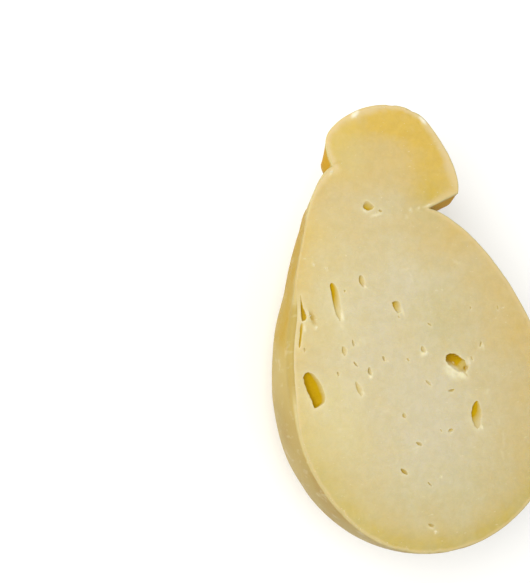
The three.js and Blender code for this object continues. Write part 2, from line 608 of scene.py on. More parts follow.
def face_smears() -> List[Smear]:
    """Crumbs and ridges pressed up beside the eyes, flecks at the head's rim, and the dents.

    Returns:
        The smears.
    """
    return [
        # by the slender eye, and round the slit and the nick
        Smear(-38.7, 109.4, 4.4, 1.7, -4, 0.35),
        Smear(-51.4, 106.6, 1.8, 1.5, 20, 0.45),
        Smear(-52.6, 111.0, 5.4, 2.2, -12, -0.6),
        Smear(-51.9, 108.4, 2.8, 1.4, -40, -0.35),
        Smear(-56.6, 106.9, 3.4, 1.6, 10, 0.25),
        Smear(-53.7, 111.6, 5.6, 0.8, -14, 0.42),
        Smear(-59.3, 124.0, 12.0, 0.8, 4, 0.15),
        Smear(-59.5, 136.0, 8.0, 1.6, 12, 0.15),
        # under the oval eye
        Smear(20.6, 51.0, 2.2, 1.4, -10, 0.45),
        # torn floor and rim of the eye right of the middle
        Smear(9.0, 77.0, 9.0, 3.4, -46, 0.30),
        Smear(10.5, 79.2, 7.6, 3.6, -50, 0.40),
        Smear(12.3, 81.1, 1.3, 0.8, -30, 0.28),
        Smear(12.7, 79.2, 1.2, 0.7, 20, 0.26),
        Smear(17.3, 78.2, 2.0, 1.5, 30, -0.90),
        Smear(16.3, 75.6, 3.2, 0.5, -38, -0.40),
        Smear(14.6, 75.0, 6.4, 2.6, -66, 0.34),
        Smear(18.9, 80.6, 3.6, 1.6, -8, 0.30),
        # ridges beside the smaller eyes
        Smear(-29.7, 82.0, 1.8, 1.6, -40, 0.45),
        Smear(-2.6, 87.4, 3.4, 2.0, 80, 0.40),
        Smear(-9.8, 11.5, 1.6, 1.1, -60, 0.45),
        Smear(-11.8, 13.4, 3.4, 0.9, -62, 0.20),
        Smear(-3.5, 33.9, 1.4, 1.0, 30, 0.35),
        Smear(-13.2, 48.6, 4.4, 0.8, 88, 0.15),
        Smear(-8.4, 50.6, 2.0, 1.0, 0, 0.15),
        Smear(-16.0, 149.6, 5.4, 1.2, 86, 0.30),
        Smear(-21.0, 151.8, 2.4, 0.9, -50, 0.30),
        Smear(-25.8, 119.7, 2.6, 0.8, -50, 0.25),
        Smear(-9.9, 107.2, 4.8, 1.2, -8, 0.20),
        Smear(27.3, 85.9, 3.2, 1.2, -6, 0.25),
        # crumbs pressed flat
        Smear(-42.7, 129.9, 1.3, 0.9, 10, 0.30),
        Smear(-48.4, 132.3, 1.8, 1.2, -25, 0.30),
        Smear(25.9, 66.0, 3.0, 1.4, 60, 0.18),
        # dry white flecks at the head's rim
        Smear(-19.0, 193.2, 4.6, 1.9, 58, 0.50, 0.9),
        Smear(13.6, 188.0, 4.2, 2.0, -40, 0.50, 0.9),
        # ridges under the pinholes at the left
        Smear(-33.4, 96.6, 2.6, 1.6, -20, 0.15),
        Smear(-34.4, 76.0, 2.6, 1.2, -40, 0.15),
        Smear(-20.6, 87.2, 1.6, 1.0, -50, 0.18),
        # the pale ridge along the neck
        Smear(10.0, 150.8, 6.0, 0.9, 78, 0.30),
        Smear(4.8, 150.0, 2.6, 1.1, 50, 0.26),
        Smear(0.8, 150.0, 2.4, 1.0, -30, 0.30),
        Smear(-1.4, 147.0, 1.6, 1.0, 20, 0.2),
        # faint scrapes
        Smear(-3.6, 121.5, 6.4, 1.0, -12, 0.14),
        Smear(-6.2, 124.6, 5.0, 0.9, 82, 0.14),
        Smear(20.4, 124.4, 5.4, 1.0, -62, 0.16),
        Smear(30.9, 44.2, 7.4, 1.3, 6, 0.12),
        Smear(29.0, 37.4, 5.2, 1.1, -8, 0.12),
        Smear(-0.6, 61.4, 6.2, 0.9, 18, 0.10),
        Smear(-13.8, 46.8, 3.4, 0.9, 60, 0.14),
        Smear(-48.0, 62.6, 5.6, 1.0, 84, 0.10),
        Smear(-26.0, 66.4, 6.8, 1.2, 80, 0.10),
        Smear(-31.4, 97.8, 4.2, 2.6, -10, 0.14),
        Smear(-39.4, 104.6, 3.0, 1.6, -30, 0.12),
        # a slot in the head's left, and its two lips
        Smear(-31.5, 173.2, 6.0, 1.0, 70, -0.16),
        Smear(-34.5, 174.6, 3.4, 1.2, 20, 0.30),
        Smear(-34.2, 169.6, 3.0, 1.0, 40, 0.30),
    ]


def inside(points: Grid, ring: Grid) -> Grid:
    """Tells which points lie inside a closed ring.

    Args:
        points: places on the plane.
        ring: the ring's corners in order.

    Returns:
        True for each point inside.
    """
    ahead = np.roll(ring, -1, axis=0)
    result = np.zeros(len(points), dtype=bool)
    for (ax, ay), (bx, by) in zip(ring, ahead):
        crosses = (ay > points[:, 1]) != (by > points[:, 1])
        if crosses.any():
            slope = (bx - ax) / (by - ay)
            result ^= crosses & (points[:, 0] < ax + (points[:, 1] - ay) * slope)
    return result


def clearance(points: Grid, ring: Grid, step: float = 0.25) -> Grid:
    """Distance from each point to a closed ring.

    Args:
        points: places on the plane.
        ring: the ring's corners in order.
        step: how finely the ring is filled in before it is measured.

    Returns:
        One distance for each point.
    """
    ahead = np.roll(ring, -1, axis=0)
    fine: List[Grid] = []
    for start, end in zip(ring, ahead):
        count = max(1, int(np.linalg.norm(end - start) / step))
        share = (np.arange(count) / count)[:, None]
        fine.append(start + (end - start) * share)
    spots = np.vstack(fine)
    tree = kdtree.KDTree(len(spots))
    for number, spot in enumerate(spots):
        tree.insert((spot[0], spot[1], 0.0), number)
    tree.balance()
    return np.array([tree.find((p[0], p[1], 0.0))[2] for p in points])


def crisp_side(points: Grid) -> Grid:
    """How crisp the cut's edge is: it is, along the middle of the left side.

    Args:
        points: places, of which the first two coordinates count.

    Returns:
        A value from 0 to 1 for each point.
    """
    return between(66.0, 84.0, 112.0, 122.0, points[:, 1]) * ease(-20.0, -40.0, points[:, 0])


def within_reach(points: Grid, ring: Grid, reach: float) -> Grid:
    """Numbers of the points that lie within `reach` of a ring's middle."""
    return np.where(np.linalg.norm(points - ring.mean(axis=0), axis=1) < reach)[0]


@dataclass
class HalfMesh:
    """Vertices, facets and surface readings that grow into one closed mesh.

    `weld` is the distance in metres at which vertices join, and `sharp` the angle of an edge.
    """

    points: List[Grid] = field(default_factory=list)
    facets: List[Tuple[int, ...]] = field(default_factory=list)
    skins: List[int] = field(default_factory=list)
    readings: Dict[str, List[Grid]] = field(default_factory=dict)
    count: int = 0
    weld: float = 2e-6
    sharp: float = 42.0

    def add_points(self, points: Grid, **readings: Grid) -> int:
        """Adds vertices with their surface readings.

        Args:
            points: places in millimetres.
            readings: value for each vertex by name; a name left out reads 0.

        Returns:
            Number of the first new vertex.
        """
        first = self.count
        for name in sorted(set(self.readings) | set(readings)):
            known = self.readings.setdefault(name, [np.zeros(first)] if first else [])
            known.append(np.asarray(readings.get(name, np.zeros(len(points))), dtype=float))
        self.points.append(points)
        self.count += len(points)
        return first

    def add_facets(self, facets: Sequence[Tuple[int, ...]], skin: Skin) -> None:
        """Adds facets that take one finish."""
        self.facets.extend(facets)
        self.skins.extend([int(skin)] * len(facets))

    def to_object(
        self, name: str, shift: Grid, finishes: Sequence[bpy.types.Material]
    ) -> bpy.types.Object:
        """Makes the closed object, with doubled vertices merged.

        Args:
            name: name of the object.
            shift: what moves the loft's frame onto the part's, in millimetres.
            finishes: one material for each skin, in the skins' order.

        Returns:
            The object, linked to the scene.
        """
        mesh = bpy.data.meshes.new(name)
        places = (np.vstack(self.points) + shift) * MM
        places[:, 2] = np.maximum(places[:, 2], 0.0)
        mesh.from_pydata(places.tolist(), [], self.facets)
        for material in finishes:
            mesh.materials.append(material)
        mesh.polygons.foreach_set("material_index", self.skins)
        for title, parts in self.readings.items():
            layer = mesh.attributes.new(title, "FLOAT", "POINT")
            layer.data.foreach_set("value", np.concatenate(parts))
        work = bmesh.new()
        work.from_mesh(mesh)
        bmesh.ops.remove_doubles(work, verts=work.verts, dist=self.weld)
        bmesh.ops.dissolve_degenerate(work, edges=work.edges, dist=self.weld / 20.0)
        bmesh.ops.recalc_face_normals(work, faces=work.faces)
        for facet in work.faces:
            facet.smooth = True
        open_edges = sum(1 for edge in work.edges if len(edge.link_faces) != 2)
        work.to_mesh(mesh)
        work.free()
        mesh.set_sharp_from_angle(angle=math.radians(self.sharp))
        LOG.info("%s: %d facets, %d open edges", name, len(mesh.polygons), open_edges)
        return link(bpy.data.objects.new(name, mesh))


@dataclass
class Rind:
    """The dried skin round the ball, the neck and the head.

    `steps` are the columns' distances from the cut, close together where the knife rolled the
    edge. `zones` are the rings of the foot, the belly, the shoulder, the lip and the dome. Each of
    `lumps` is a lump's width and height, and each of `pleats` where a pleat under the head starts
    round the ring and how far it twists. The other values are heights and places in millimetres,
    save `pinch`, which is a share of the head's half width, `crest_way`, a direction, and
    `crest_spread`, the square of the bump's reach.
    """

    form: PearForm
    steps: Tuple[float, ...] = (0.0, 0.12, 0.28, 0.5, 0.85, 1.5, 2.5, 4.0, 6.0)
    across: int = 92
    zones: Tuple[int, ...] = (9, 84, 84, 13, 60)
    crowded: float = 1.5
    lumps: Tuple[Tuple[float, float], ...] = ((34.0, 0.5), (9.0, 0.10), (2.6, 0.03))
    pucker: float = 0.4
    pleats: Tuple[Tuple[float, float], ...] = ((0.8, 0.9), (1.45, -0.7), (2.2, 0.8))
    pleat_depth: float = 0.9
    pleat_width: float = 1.3
    roll: float = 0.6
    nick: float = 0.9
    rub: float = 1.2
    tuck: float = 2.0
    tuck_y: float = 171.0
    crest: float = 1.1
    crest_at: Tuple[float, float] = (13.5, 189.0)
    crest_way: Tuple[float, float] = (0.6, 0.8)
    crest_spread: float = 55.0
    droop: float = 5.4
    pinch: float = 0.2
    waist: float = 2.2
    first_cut: int = field(default=0, init=False)
    edge_gap: Grid = field(default_factory=lambda: np.zeros(0), init=False)
    on_head: Grid = field(default_factory=lambda: np.zeros(0), init=False)

    def rings(self) -> RingStack:
        """Lays the loft's rings from the pole to the crown.

        Returns:
            The rings; `first_cut` keeps the number of the first one that the knife met.
        """
        form = self.form
        foot_rings, belly_rings, shoulder_rings, lip_rings, dome_rings = self.zones
        probe = np.linspace(0.0, 0.2, 4001)
        start = self._crossing(probe, self._stack(form.ball_edge, probe), 1.0)
        tip_probe = np.linspace(1.0, 0.6, 8001)
        tip = self._crossing(tip_probe, self._stack(form.dome_edge, tip_probe), -1.0)
        cap = np.linspace(0.0, start, foot_rings)[:-1]
        belly = start + (0.5 - start) * np.linspace(0.0, 1.0, belly_rings) ** self.crowded
        shoulder = np.linspace(0.5, 1.0, shoulder_rings)[1:]
        lip = np.linspace(0.0, 1.0, lip_rings)[1:]
        dome = tip * (1.0 - (1.0 - np.linspace(0.0, 1.0, dome_rings)[1:]) ** self.crowded)
        ball = np.concatenate([cap, belly, shoulder])
        zones = ((form.ball_edge, ball), (form.lip_edge, lip), (form.dome_edge, dome))
        left = np.vstack([edge(Side.LEFT, share) for edge, share in zones])
        right = np.vstack([edge(Side.RIGHT, share) for edge, share in zones])
        full = np.concatenate([form.fullness(ball), np.ones(len(lip) + len(dome))])
        head = np.concatenate([np.zeros(len(ball)), lip * 0.3, 0.3 + 0.7 * dome])
        axis = form.axis_depth((left[:, 1] + right[:, 1]) / 2.0)
        self.first_cut = len(cap)
        return RingStack(left, right, full, axis, head)

    def _stack(self, edge: Callable[[Side, Grid], Grid], share: Grid) -> RingStack:
        """Rings of one zone, for probing where the knife meets them.

        Args:
            edge: the zone's outline on one side.
            share: places along the zone.

        Returns:
            The zone's rings.
        """
        left, right = edge(Side.LEFT, share), edge(Side.RIGHT, share)
        axis = self.form.axis_depth((left[:, 1] + right[:, 1]) / 2.0)
        return RingStack(left, right, np.ones(len(share)), axis, np.zeros(len(share)))

    @staticmethod
    def _crossing(share: Grid, stack: RingStack, sign: float) -> float:
        """Share at which a ring first reaches the knife plane.

        Args:
            share: shares probed, from the closed end inward.
            stack: their rings.
            sign: 1 where the axis lies under the plane, -1 where it lies over it.

        Returns:
            The share at the crossing.
        """
        gap = stack.depth - sign * stack.axis
        found = int(np.argmax(gap > 0.0))
        weight = -gap[found - 1] / (gap[found] - gap[found - 1])
        return float(share[found - 1] + (share[found] - share[found - 1]) * weight)

    def columns(self, arc: Grid) -> Grid:
        """Places round each ring, 0 at the right edge and 1 at the left, closer near both.

        Args:
            arc: length round each ring in millimetres.

        Returns:
            One row of places for each ring.
        """
        near = np.array(self.steps) / np.maximum(arc, 1e-3)[:, None]
        near *= np.minimum(1.0, 0.2 / near[:, -1:])
        middle = np.linspace(0.0, 1.0, self.across + 2)[1:-1]
        last = near[:, -1:]
        return np.concatenate([near, last + (1.0 - 2.0 * last) * middle, 1.0 - near[:, ::-1]], axis=1)

    def surface(self, stack: RingStack) -> Grid:
        """Points of the rind, ring by ring and column by column, with the cut edge on height 0.

        Args:
            stack: the loft's rings.

        Returns:
            Points of each ring and column; `edge_gap` keeps their distance from the cut, and
            `on_head` how far up the head each one lies.
        """
        reach = np.arcsin(np.clip(stack.axis / np.maximum(stack.depth, 1e-6), -1.0, 1.0))
        length = np.maximum(np.linalg.norm(stack.arm, axis=1), 1e-6)
        sweep = math.pi + 2.0 * reach
        columns = self.columns(length * sweep)
        angle = -reach[:, None] + columns * sweep[:, None]
        cos, sin = np.cos(angle), np.sin(angle)
        flat = stack.middle[:, None, :] + stack.arm[:, None, :] * cos[:, :, None]
        height = -stack.axis[:, None] - stack.depth[:, None] * sin
        points = np.concatenate([flat, height[:, :, None]], axis=2)
        along = stack.arm / length[:, None]
        outward = np.concatenate([along[:, None, :] * cos[:, :, None], -sin[:, :, None]], axis=2)
        swell = self._swell(points, stack, angle, length) * ease(0.0, 14.0, length)[:, None]
        points = points + outward * swell[:, :, None]
        around = np.minimum(columns, 1.0 - columns) * (length * sweep)[:, None]
        self.edge_gap = np.maximum(around, -points[:, :, 2])
        self.on_head = np.repeat(stack.head_share[:, None], columns.shape[1], axis=1)
        self._sag_head(points, stack, along, cos)
        points[self.first_cut:, [0, -1], 2] = 0.0
        points[:, :, 2] = np.minimum(points[:, :, 2], 0.0)
        self._roll_edge(points)
        return points

    def _swell(self, points: Grid, stack: RingStack, angle: Grid, length: Grid) -> Grid:
        """How far the rind stands proud of the plain loft: lumps, puckers and pleats.

        Args:
            points: points of each ring and column.
            stack: the loft's rings.
            angle: turn of each point round its ring.
            length: half width of each ring.

        Returns:
            Millimetres outward for each point.
        """
        swell = np.zeros(angle.shape)
        for number, (size, height) in enumerate(self.lumps):
            swell += height * ripple(points, size, 1.0 + number, 2)
        # puckers run up and down the neck, where the curd was drawn in
        gap = np.abs(stack.head_share * 40.0 + np.minimum(stack.middle[:, 1] - 153.0, 0.0))
        near_neck = np.exp(-((gap / 13.0) ** 2))
        fold = np.stack([np.cos(angle) * 4.2, np.sin(angle) * 4.2, points[:, :, 1] / 26.0], axis=-1)
        swell += self.pucker * near_neck[:, None] * ripple(fold, 1.0, 4.0, 2)
        # pleats cross the back of the head, clear of the cut
        under = np.sin(np.clip(angle, 0.0, math.pi))
        fade = ease(0.25, 0.5, stack.head_share)[:, None] * ease(0.25, 0.6, under)
        for base, twist in self.pleats:
            line = base + twist * (stack.head_share - 0.5)
            off = (angle - line[:, None]) * length[:, None]
            swell -= self.pleat_depth * fade * np.exp(-((off / self.pleat_width) ** 2))
        return swell

    def _sag_head(self, points: Grid, stack: RingStack, along: Grid, cos: Grid) -> None:
        """Lets the head hang over the shoulder behind the cut, and draws its sides in.

        Args:
            points: points of each ring and column, which it moves.
            stack: the loft's rings.
            along: unit direction of each ring's chord.
            cos: cosine of each point's turn round its ring.
        """
        tilt = math.radians(self.form.neck_tilt)
        up = (points[:, :, 0] - self.form.neck_x) * math.sin(tilt)
        up += (points[:, :, 1] - self.form.neck_y) * math.cos(tilt)
        under = -points[:, :, 2]
        sag = ease(-26.0, -4.0, up) * (1.0 - ease(14.0, 34.0, up)) * ease(0.0, 9.0, under)
        points[:, :, 1] -= self.droop * sag
        # behind the cut, the head's left side and the ball's left shoulder draw in
        arm = np.linalg.norm(stack.arm, axis=1)[:, None]
        hidden = 1.0 - np.exp(-under / 4.0)
        on_head = ease(0.16, 0.34, stack.head_share)[:, None]
        draw = self.pinch * arm * on_head * hidden * ease(0.3, -0.3, cos)
        y = points[:, :, 1]
        left = np.maximum(-cos, 0.0) * ease(100.0, 126.0, y) * (1.0 - ease(148.0, 158.0, y))
        body = (stack.head_share < 0.01)[:, None]
        draw = draw * np.abs(cos) + self.waist * left * hidden * body
        points[:, :, :2] -= along[:, None, :] * (draw * np.sign(cos))[:, :, None]
        # a bump on the head's crest, and a bulge of the lip behind the cut
        y = points[:, :, 1]
        near = (stack.head_share < 0.3)[:, None] * np.exp(-(((y - self.tuck_y) / 6.0) ** 2))
        far = (points[:, :, 0] - self.crest_at[0]) ** 2 + (points[:, :, 1] - self.crest_at[1]) ** 2
        crest = self.crest * np.exp(-far / self.crest_spread)
        points[:, :, :2] += crest[:, :, None] * np.array(self.crest_way)
        bulge = self.tuck * near * np.maximum(-cos, 0.0) * hidden
        points[:, :, :2] -= along[:, None, :] * bulge[:, :, None]

    def _roll_edge(self, points: Grid) -> None:
        """Rounds the cut edge over, more here and less there, with small nicks.

        Args:
            points: points of each ring and column, which it moves.
        """
        first = self.first_cut
        kernel = np.ones(5) / 5.0
        for column, side in ((0, Side.RIGHT), (-1, Side.LEFT)):
            edge = points[first:, column, :2]
            run = np.gradient(edge, axis=0)
            normal = side * np.column_stack([run[:, 1], -run[:, 0]])
            padded = np.pad(normal, ((2, 2), (0, 0)), mode="edge")
            normal = np.column_stack([np.convolve(padded[:, k], kernel, "valid") for k in (0, 1)])
            normal /= np.maximum(np.linalg.norm(normal, axis=1), 1e-9)[:, None]
            flat = on_plane(edge)
            chips = np.maximum(ripple(flat, 2.4, 5.0, 2) - 0.15, 0.0)
            height = edge[:, 1]
            low = ease(110.0, 60.0, height) if side == Side.LEFT else 0.4
            radius = self.roll * (1.0 + 0.5 * ripple(flat, 12.0, 6.0, 1)) + self.nick * chips * low
            if side == Side.LEFT:
                # sharper on the shoulder, and rubbed round at the belly and by the slit
                radius = radius * (1.0 - 0.4 * ease(112.0, 122.0, height))
                radius = radius + self.rub * ease(60.0, 80.0, height) * ease(127.0, 116.0, height)
                radius = radius + 0.5 * self.rub * np.exp(-(((height - 111.0) / 7.0) ** 2))
            radius = np.concatenate([np.full(first, radius[0]), np.maximum(radius, 0.15)])
            normal = np.concatenate([np.repeat(normal[:1], first, axis=0), normal])
            half = points.shape[1] // 2
            part = points[:, :half] if side == Side.RIGHT else points[:, half:]
            under = np.clip(-part[:, :, 2], 0.0, radius[:, None])
            inward = radius[:, None] - np.sqrt(radius[:, None] ** 2 - (radius[:, None] - under) ** 2)
            part[:, :, :2] -= normal[:, None, :] * inward[:, :, None]

    def readings(self, skin: Grid) -> Dict[str, Grid]:
        """Surface readings that the rind's finish draws on.

        Args:
            skin: points of each ring and column.

        Returns:
            For each point: glow, gold painted near the cut, as painted light coming
            through the cut and painted shade of the sides; edge, the bare curd at the knife's edge; high,
            the same on the left shoulder; fold, darker gold painted as shade under the head's lip; low,
            shade painted on the lower rind; rubbed, where the edge is rubbed round; and ripe and pale
            for the paste.
        """
        place = skin.reshape(-1, 3)
        x, y = place[:, 0], place[:, 1]
        gap, on_head = self.edge_gap.ravel(), self.on_head.ravel()
        # painted light and shade: a deep gold band on the rind 1 to 60 mm off the cut, stronger up the ball
        flank_side = ease(8.0, 24.0, gap)
        wander = y + 16.0 * ripple(place, 22.0, 13.0, 3) * flank_side
        golden = 0.15 * ease(45.0, 80.0, wander) + 0.85 * ease(90.0, 108.0, wander)
        golden = golden + (ease(58.0, 138.0, wander) - golden) * flank_side
        left = ease(0.0, -20.0, x)
        high = between(114.0, 124.0, 148.0, 156.0, y) * left
        rubbed = between(73.0, 86.0, 115.0, 124.0, y) * left
        edge = 0.6 * (1.0 - ease(0.1, 0.9, gap)) * (1.0 - high) * (1.0 - rubbed)
        crisp = crisp_side(place)
        return {
            "glow": golden * between(1.0, 6.0, 34.0, 60.0, gap),
            "edge": edge + 0.9 * (1.0 - ease(0.3, 5.0, gap)) * high,
            "high": high,
            # fold: darker gold painted as shade in the crease under the head's lip
            "fold": between(0.0, 0.02, 0.3, 0.55, on_head) * between(0.4, 1.6, 12.0, 26.0, gap),
            # low: shade painted on the lower rind, darker toward the bottom
            "low": ease(104.0, 60.0, y),
            "rubbed": rubbed * (1.0 - ease(2.0, 4.5, gap)),
            "ripe": 0.4 - 0.15 * crisp,
            "pale": 0.2 * crisp,
        }


@dataclass(frozen=True)
class Ripening:
    """How the paste has ripened, from the cream heart out to the rind and up into the head.

    The patches are the spots that differ from the slow change across the face: the riper heart, the
    notch where the head meets the shoulder, the crown, the paler paste under it, and the brow at
    the head's left. `cloud` is the width of the slow unevenness in millimetres, and `uneven` its
    strength.
    """

    heart: Patch = Patch(8.0, 99.0, 9.0, 14.0)
    cool_heart: Patch = Patch(9.0, 101.0, 12.0, 14.0)
    notch: Patch = Patch(11.0, 153.0, 9.0, 11.0)
    crown: Patch = Patch(3.0, 190.0, 17.0, 5.5)
    under_crown: Patch = Patch(1.0, 176.0, 15.0, 8.0)
    brow: Patch = Patch(-25.0, 177.0, 11.0, 10.0)
    cloud: float = 16.0
    uneven: float = 0.07
    neck: Tuple[float, float] = (144.0, 156.0)

    def readings(self, spots: Grid, inset: Grid) -> Dict[str, Grid]:
        """Readings of the paste's colour.

        Args:
            spots: places on the plane.
            inset: their distance from the face's edge.

        Returns:
            ripe, from 0 for cream to 1 for deep yellow; olive, the cooler cast of the lower
            edge, which along the bottom and in the notch is also painted shade; fair, the lighter
            cast of the left flank, partly painted light.
        """
        x, y = spots[:, 0], spots[:, 1]
        on_head = ease(*self.neck, y)
        head = np.clip(self._head(x, y), 0.0, 1.1)
        ripe = self._body(x, y, inset) * (1.0 - on_head) + head * on_head
        ripe = ripe + self.uneven * ripple(on_plane(spots), self.cloud, 10.0, 3)
        # olive: cooler along the bottom, in the notch, on the brow and in the heart;
        # along the bottom and in the notch it also darkens the paste as painted shade
        rimward = np.exp(-np.maximum(inset - 3.0, 0.0) / 8.0) * ease(84.0, 36.0, y)
        olive = np.maximum(rimward, 0.3 * ease(52.0, 22.0, y))
        olive = np.maximum(olive, 0.6 * self.notch.weight(x, y) + 0.35 * self.brow.weight(x, y))
        olive = np.maximum(olive, 0.35 * self.cool_heart.weight(x, y))
        # fair: the belly's left, the head's left, and faintly the shoulder's left, lighter and
        # more yellow-green; partly the paste's own cast, partly painted light on the left side
        fair = 0.27 * ease(-26.0, -48.0, x) * ease(96.0, 76.0, y) * (1.0 - 0.6 * ease(62.0, 42.0, y))
        fair = fair + 0.2 * ease(-12.0, -26.0, x) * ease(162.0, 172.0, y)
        fair = fair + 0.14 * ease(-20.0, -44.0, x) * between(88.0, 104.0, 148.0, 160.0, y)
        return {"ripe": np.clip(ripe, 0.0, 1.0), "olive": np.clip(olive, 0.0, 1.0), "fair": fair}

    def _body(self, x: Grid, y: Grid, inset: Grid) -> Grid:
        """Ripeness of the ball.

        Args:
            x: places across.
            y: places up.
            inset: distance from the face's edge.

        Returns:
            Ripeness, unclipped.
        """
        # slowly riper to the right
        right = 0.0115 * np.maximum(x - 4.0, 0.0) * (1.0 + 0.18 * ease(78.0, 108.0, y))
        right *= 1.0 - 0.55 * ease(50.0, 20.0, y)
        # a band along the bottom and one up the left side, wider where the ball is low
        low, flank = ease(85.0, 45.0, y), ease(-8.0, -26.0, x)
        foot = 0.54 * np.exp(-np.maximum(inset - 4.0, 0.0) / 7.6) * ease(62.0, 30.0, y)
        foot = foot * (1.0 - 0.4 * ease(15.0, 42.0, x)) + 0.18 * ease(50.0, 20.0, y)
        left = (0.38 + 0.24 * low) * np.exp(-np.maximum(inset - 2.0, 0.0) / (9.5 + 8.5 * low)) * flank
        left += 0.14 * np.exp(-inset / 9.0) * ease(102.0, 125.0, y) * flank
        # riper toward the neck, most of all on the right shoulder
        upper = 0.27 * ease(113.0, 150.0, y) * (1.0 - 0.3 * ease(-10.0, -34.0, x))
        upper = upper + 0.0105 * np.maximum(x + 8.0, 0.0) * ease(100.0, 138.0, y)
        body = np.maximum(right, upper + 0.5 * right * ease(100.0, 80.0, y)) + np.maximum(foot, left)
        body += 0.04 + 0.08 * ease(65.0, 100.0, y)
        body += 0.05 * ease(-10.0, -28.0, x) * ease(96.0, 76.0, y)
        return body + 0.15 * self.heart.weight(x, y)

    def _head(self, x: Grid, y: Grid) -> Grid:
        """Ripeness of the head: it grows upward and to both sides.

        Args:
            x: places across.
            y: places up.

        Returns:
            Ripeness, unclipped.
        """
        head = 0.27 + 0.0195 * (y - 152.0) + 0.013 * np.maximum(x + 8.0, 0.0)
        head -= 0.009 * np.minimum(x + 18.0, 0.0)
        head += 0.38 * self.notch.weight(x, y) + 0.5 * self.crown.weight(x, y)
        return head - 0.12 * self.brow.weight(x, y) - 0.11 * self.under_crown.weight(x, y)


@dataclass
class CutFace:
    """The face that the knife left, with its gas eyes.

    The three spacings are between vertices, and `band` is how far the closer ones reach in from an
    edge. `wave` is the height of the slow waves that the blade left. `drawn` and `most_drawn` say
    how far in the foot of an eye's steep wall lies.
    """

    eyes: List[GasEye]
    smears: List[Smear]
    ripening: Ripening = Ripening()
    spacing: float = 1.05
    fine_spacing: float = 0.5
    eye_spacing: float = 0.36
    band: float = 2.4
    wave: float = 0.22
    drawn: float = 0.14
    most_drawn: float = 0.2
    mouths: List[Grid] = field(default_factory=list, init=False)
    feet: List[Grid] = field(default_factory=list, init=False)

    def __post_init__(self) -> None:
        """Draws each eye's mouth and the foot of its steep wall."""
        self.mouths = [eye.mouth() for eye in self.eyes]
        self.feet = [eye.mouth(min(self.most_drawn, self.drawn * eye.wide)) for eye in self.eyes]

    def fill_points(self, outline: Grid) -> Grid:
        """Inner vertices: wide apart on the plain face, close near its edge and in the eyes.

        Args:
            outline: the face's edge.

        Returns:
            Points on the plane, clear of every edge.
        """
        wide = self._lattice(outline, self.spacing)
        wide_gap = self._gap_outside(wide, outline)
        close = self._lattice(outline, self.fine_spacing)
        close_gap = self._gap_outside(close, outline)
        kept = [wide[wide_gap > self.band], close[(close_gap > 0.25) & (close_gap <= self.band)]]
        for foot in self.feet:
            inner = self._lattice(foot, self.eye_spacing)
            inner = inner[inside(inner, foot)]
            if len(inner):
                kept.append(inner[clearance(inner, foot) > 0.16])
        return np.vstack(kept)

    def _gap_outside(self, points: Grid, outline: Grid) -> Grid:
        """Distance to the nearest edge or mouth.

        Args:
            points: places on the plane.
            outline: the face's edge.

        Returns:
            The distances; negative outside the face and inside the eyes.
        """
        gap = np.where(inside(points, outline), clearance(points, outline), -1.0)
        for eye, mouth in zip(self.eyes, self.mouths):
            near = within_reach(points, mouth, eye.long / 2 + 4.0)
            gap[near] = np.minimum(gap[near], clearance(points[near], mouth))
            gap[near[inside(points[near], mouth)]] = -1.0
        return gap

    @staticmethod
    def _lattice(outline: Grid, step: float) -> Grid:
        """A jittered triangular lattice over an outline's box.

        Args:
            outline: a closed ring.
            step: distance between neighbours.

        Returns:
            The lattice's points.
        """
        low, high = outline.min(axis=0), outline.max(axis=0)
        rows = np.arange(low[1], high[1], step * 0.866)
        x, y = np.meshgrid(np.arange(low[0], high[0], step), rows)
        x = x + (np.arange(len(rows)) % 2)[:, None] * step / 2
        spots = np.stack([x.ravel(), y.ravel()], axis=-1)
        return spots + np.random.default_rng(7).uniform(-0.18, 0.18, spots.shape) * step

    def triangulate(self, outline: Grid, fill: Grid) -> Tuple[Grid, Grid]:
        """Fills the face with triangles that keep to its edge and the eyes' rims.

        Args:
            outline: the face's edge.
            fill: inner vertices.

        Returns:
            Triangles, numbered over outline, mouths, feet and fill, and which of them lie in eyes.
        """
        rings = [outline] + self.mouths
        spots = np.vstack(rings + self.feet + [fill])
        edges: List[Tuple[int, int]] = []
        start = 0
        for ring in rings:
            numbers = np.arange(len(ring)) + start
            edges += list(zip(numbers.tolist(), np.roll(numbers, -1).tolist()))
            start += len(ring)
        corners = [Vector(spot) for spot in spots.tolist()]
        result = geometry.delaunay_2d_cdt(corners, edges, [], 0, 1e-7, True)
        source = [origin[0] if origin else -1 for origin in result[3]]
        triangles = np.array([[source[i] for i in triangle] for triangle in result[2]])
        triangles = triangles[(triangles >= 0).all(axis=1)]
        centres = spots[triangles].mean(axis=1)
        hollow = np.zeros(len(centres), dtype=bool)
        for eye, mouth in zip(self.eyes, self.mouths):
            near = within_reach(centres, mouth, eye.long)
            hollow[near] |= inside(centres[near], mouth)
        keep = inside(centres, outline)
        return triangles[keep], hollow[keep]

    def readings(self, spots: Grid, outline: Grid) -> Dict[str, Grid]:
        """Height and surface readings of each vertex.

        Args:
            spots: places on the plane, outline excepted.
            outline: the face's edge.

        Returns:
            height, its value without the eyes, and the readings ripe, olive, fair,
            pale, rim, dull, chalk and hollow, the gold painted on an eye's wall as its shade and as
            light that has crossed the paste.
        """
        inset = clearance(spots, outline)
        sunk, hollow, lip = self._eye_readings(spots)
        pressed, dull, chalk = self._smear_readings(spots)
        height = self._waves(spots) * ease(0.0, 1.5, inset) + 0.16 * lip + 0.55 * pressed - 0.8 * dull
        found = self.ripening.readings(spots, inset)
        crisp = 0.2 * crisp_side(spots) * np.exp(-inset / 1.1)
        # pale: the blade's lips are painted pale, partly a painted highlight where light catches them;
        # pressed smears and the crisp edge are pale curd
        found["pale"] = np.clip(0.9 * lip + 2.0 * pressed + crisp, 0.0, 1.0)
        found["rim"] = self._dry_band(spots, inset)
        found.update(height=height - sunk, flat=height, dull=dull, hollow=hollow, chalk=chalk)
        return found

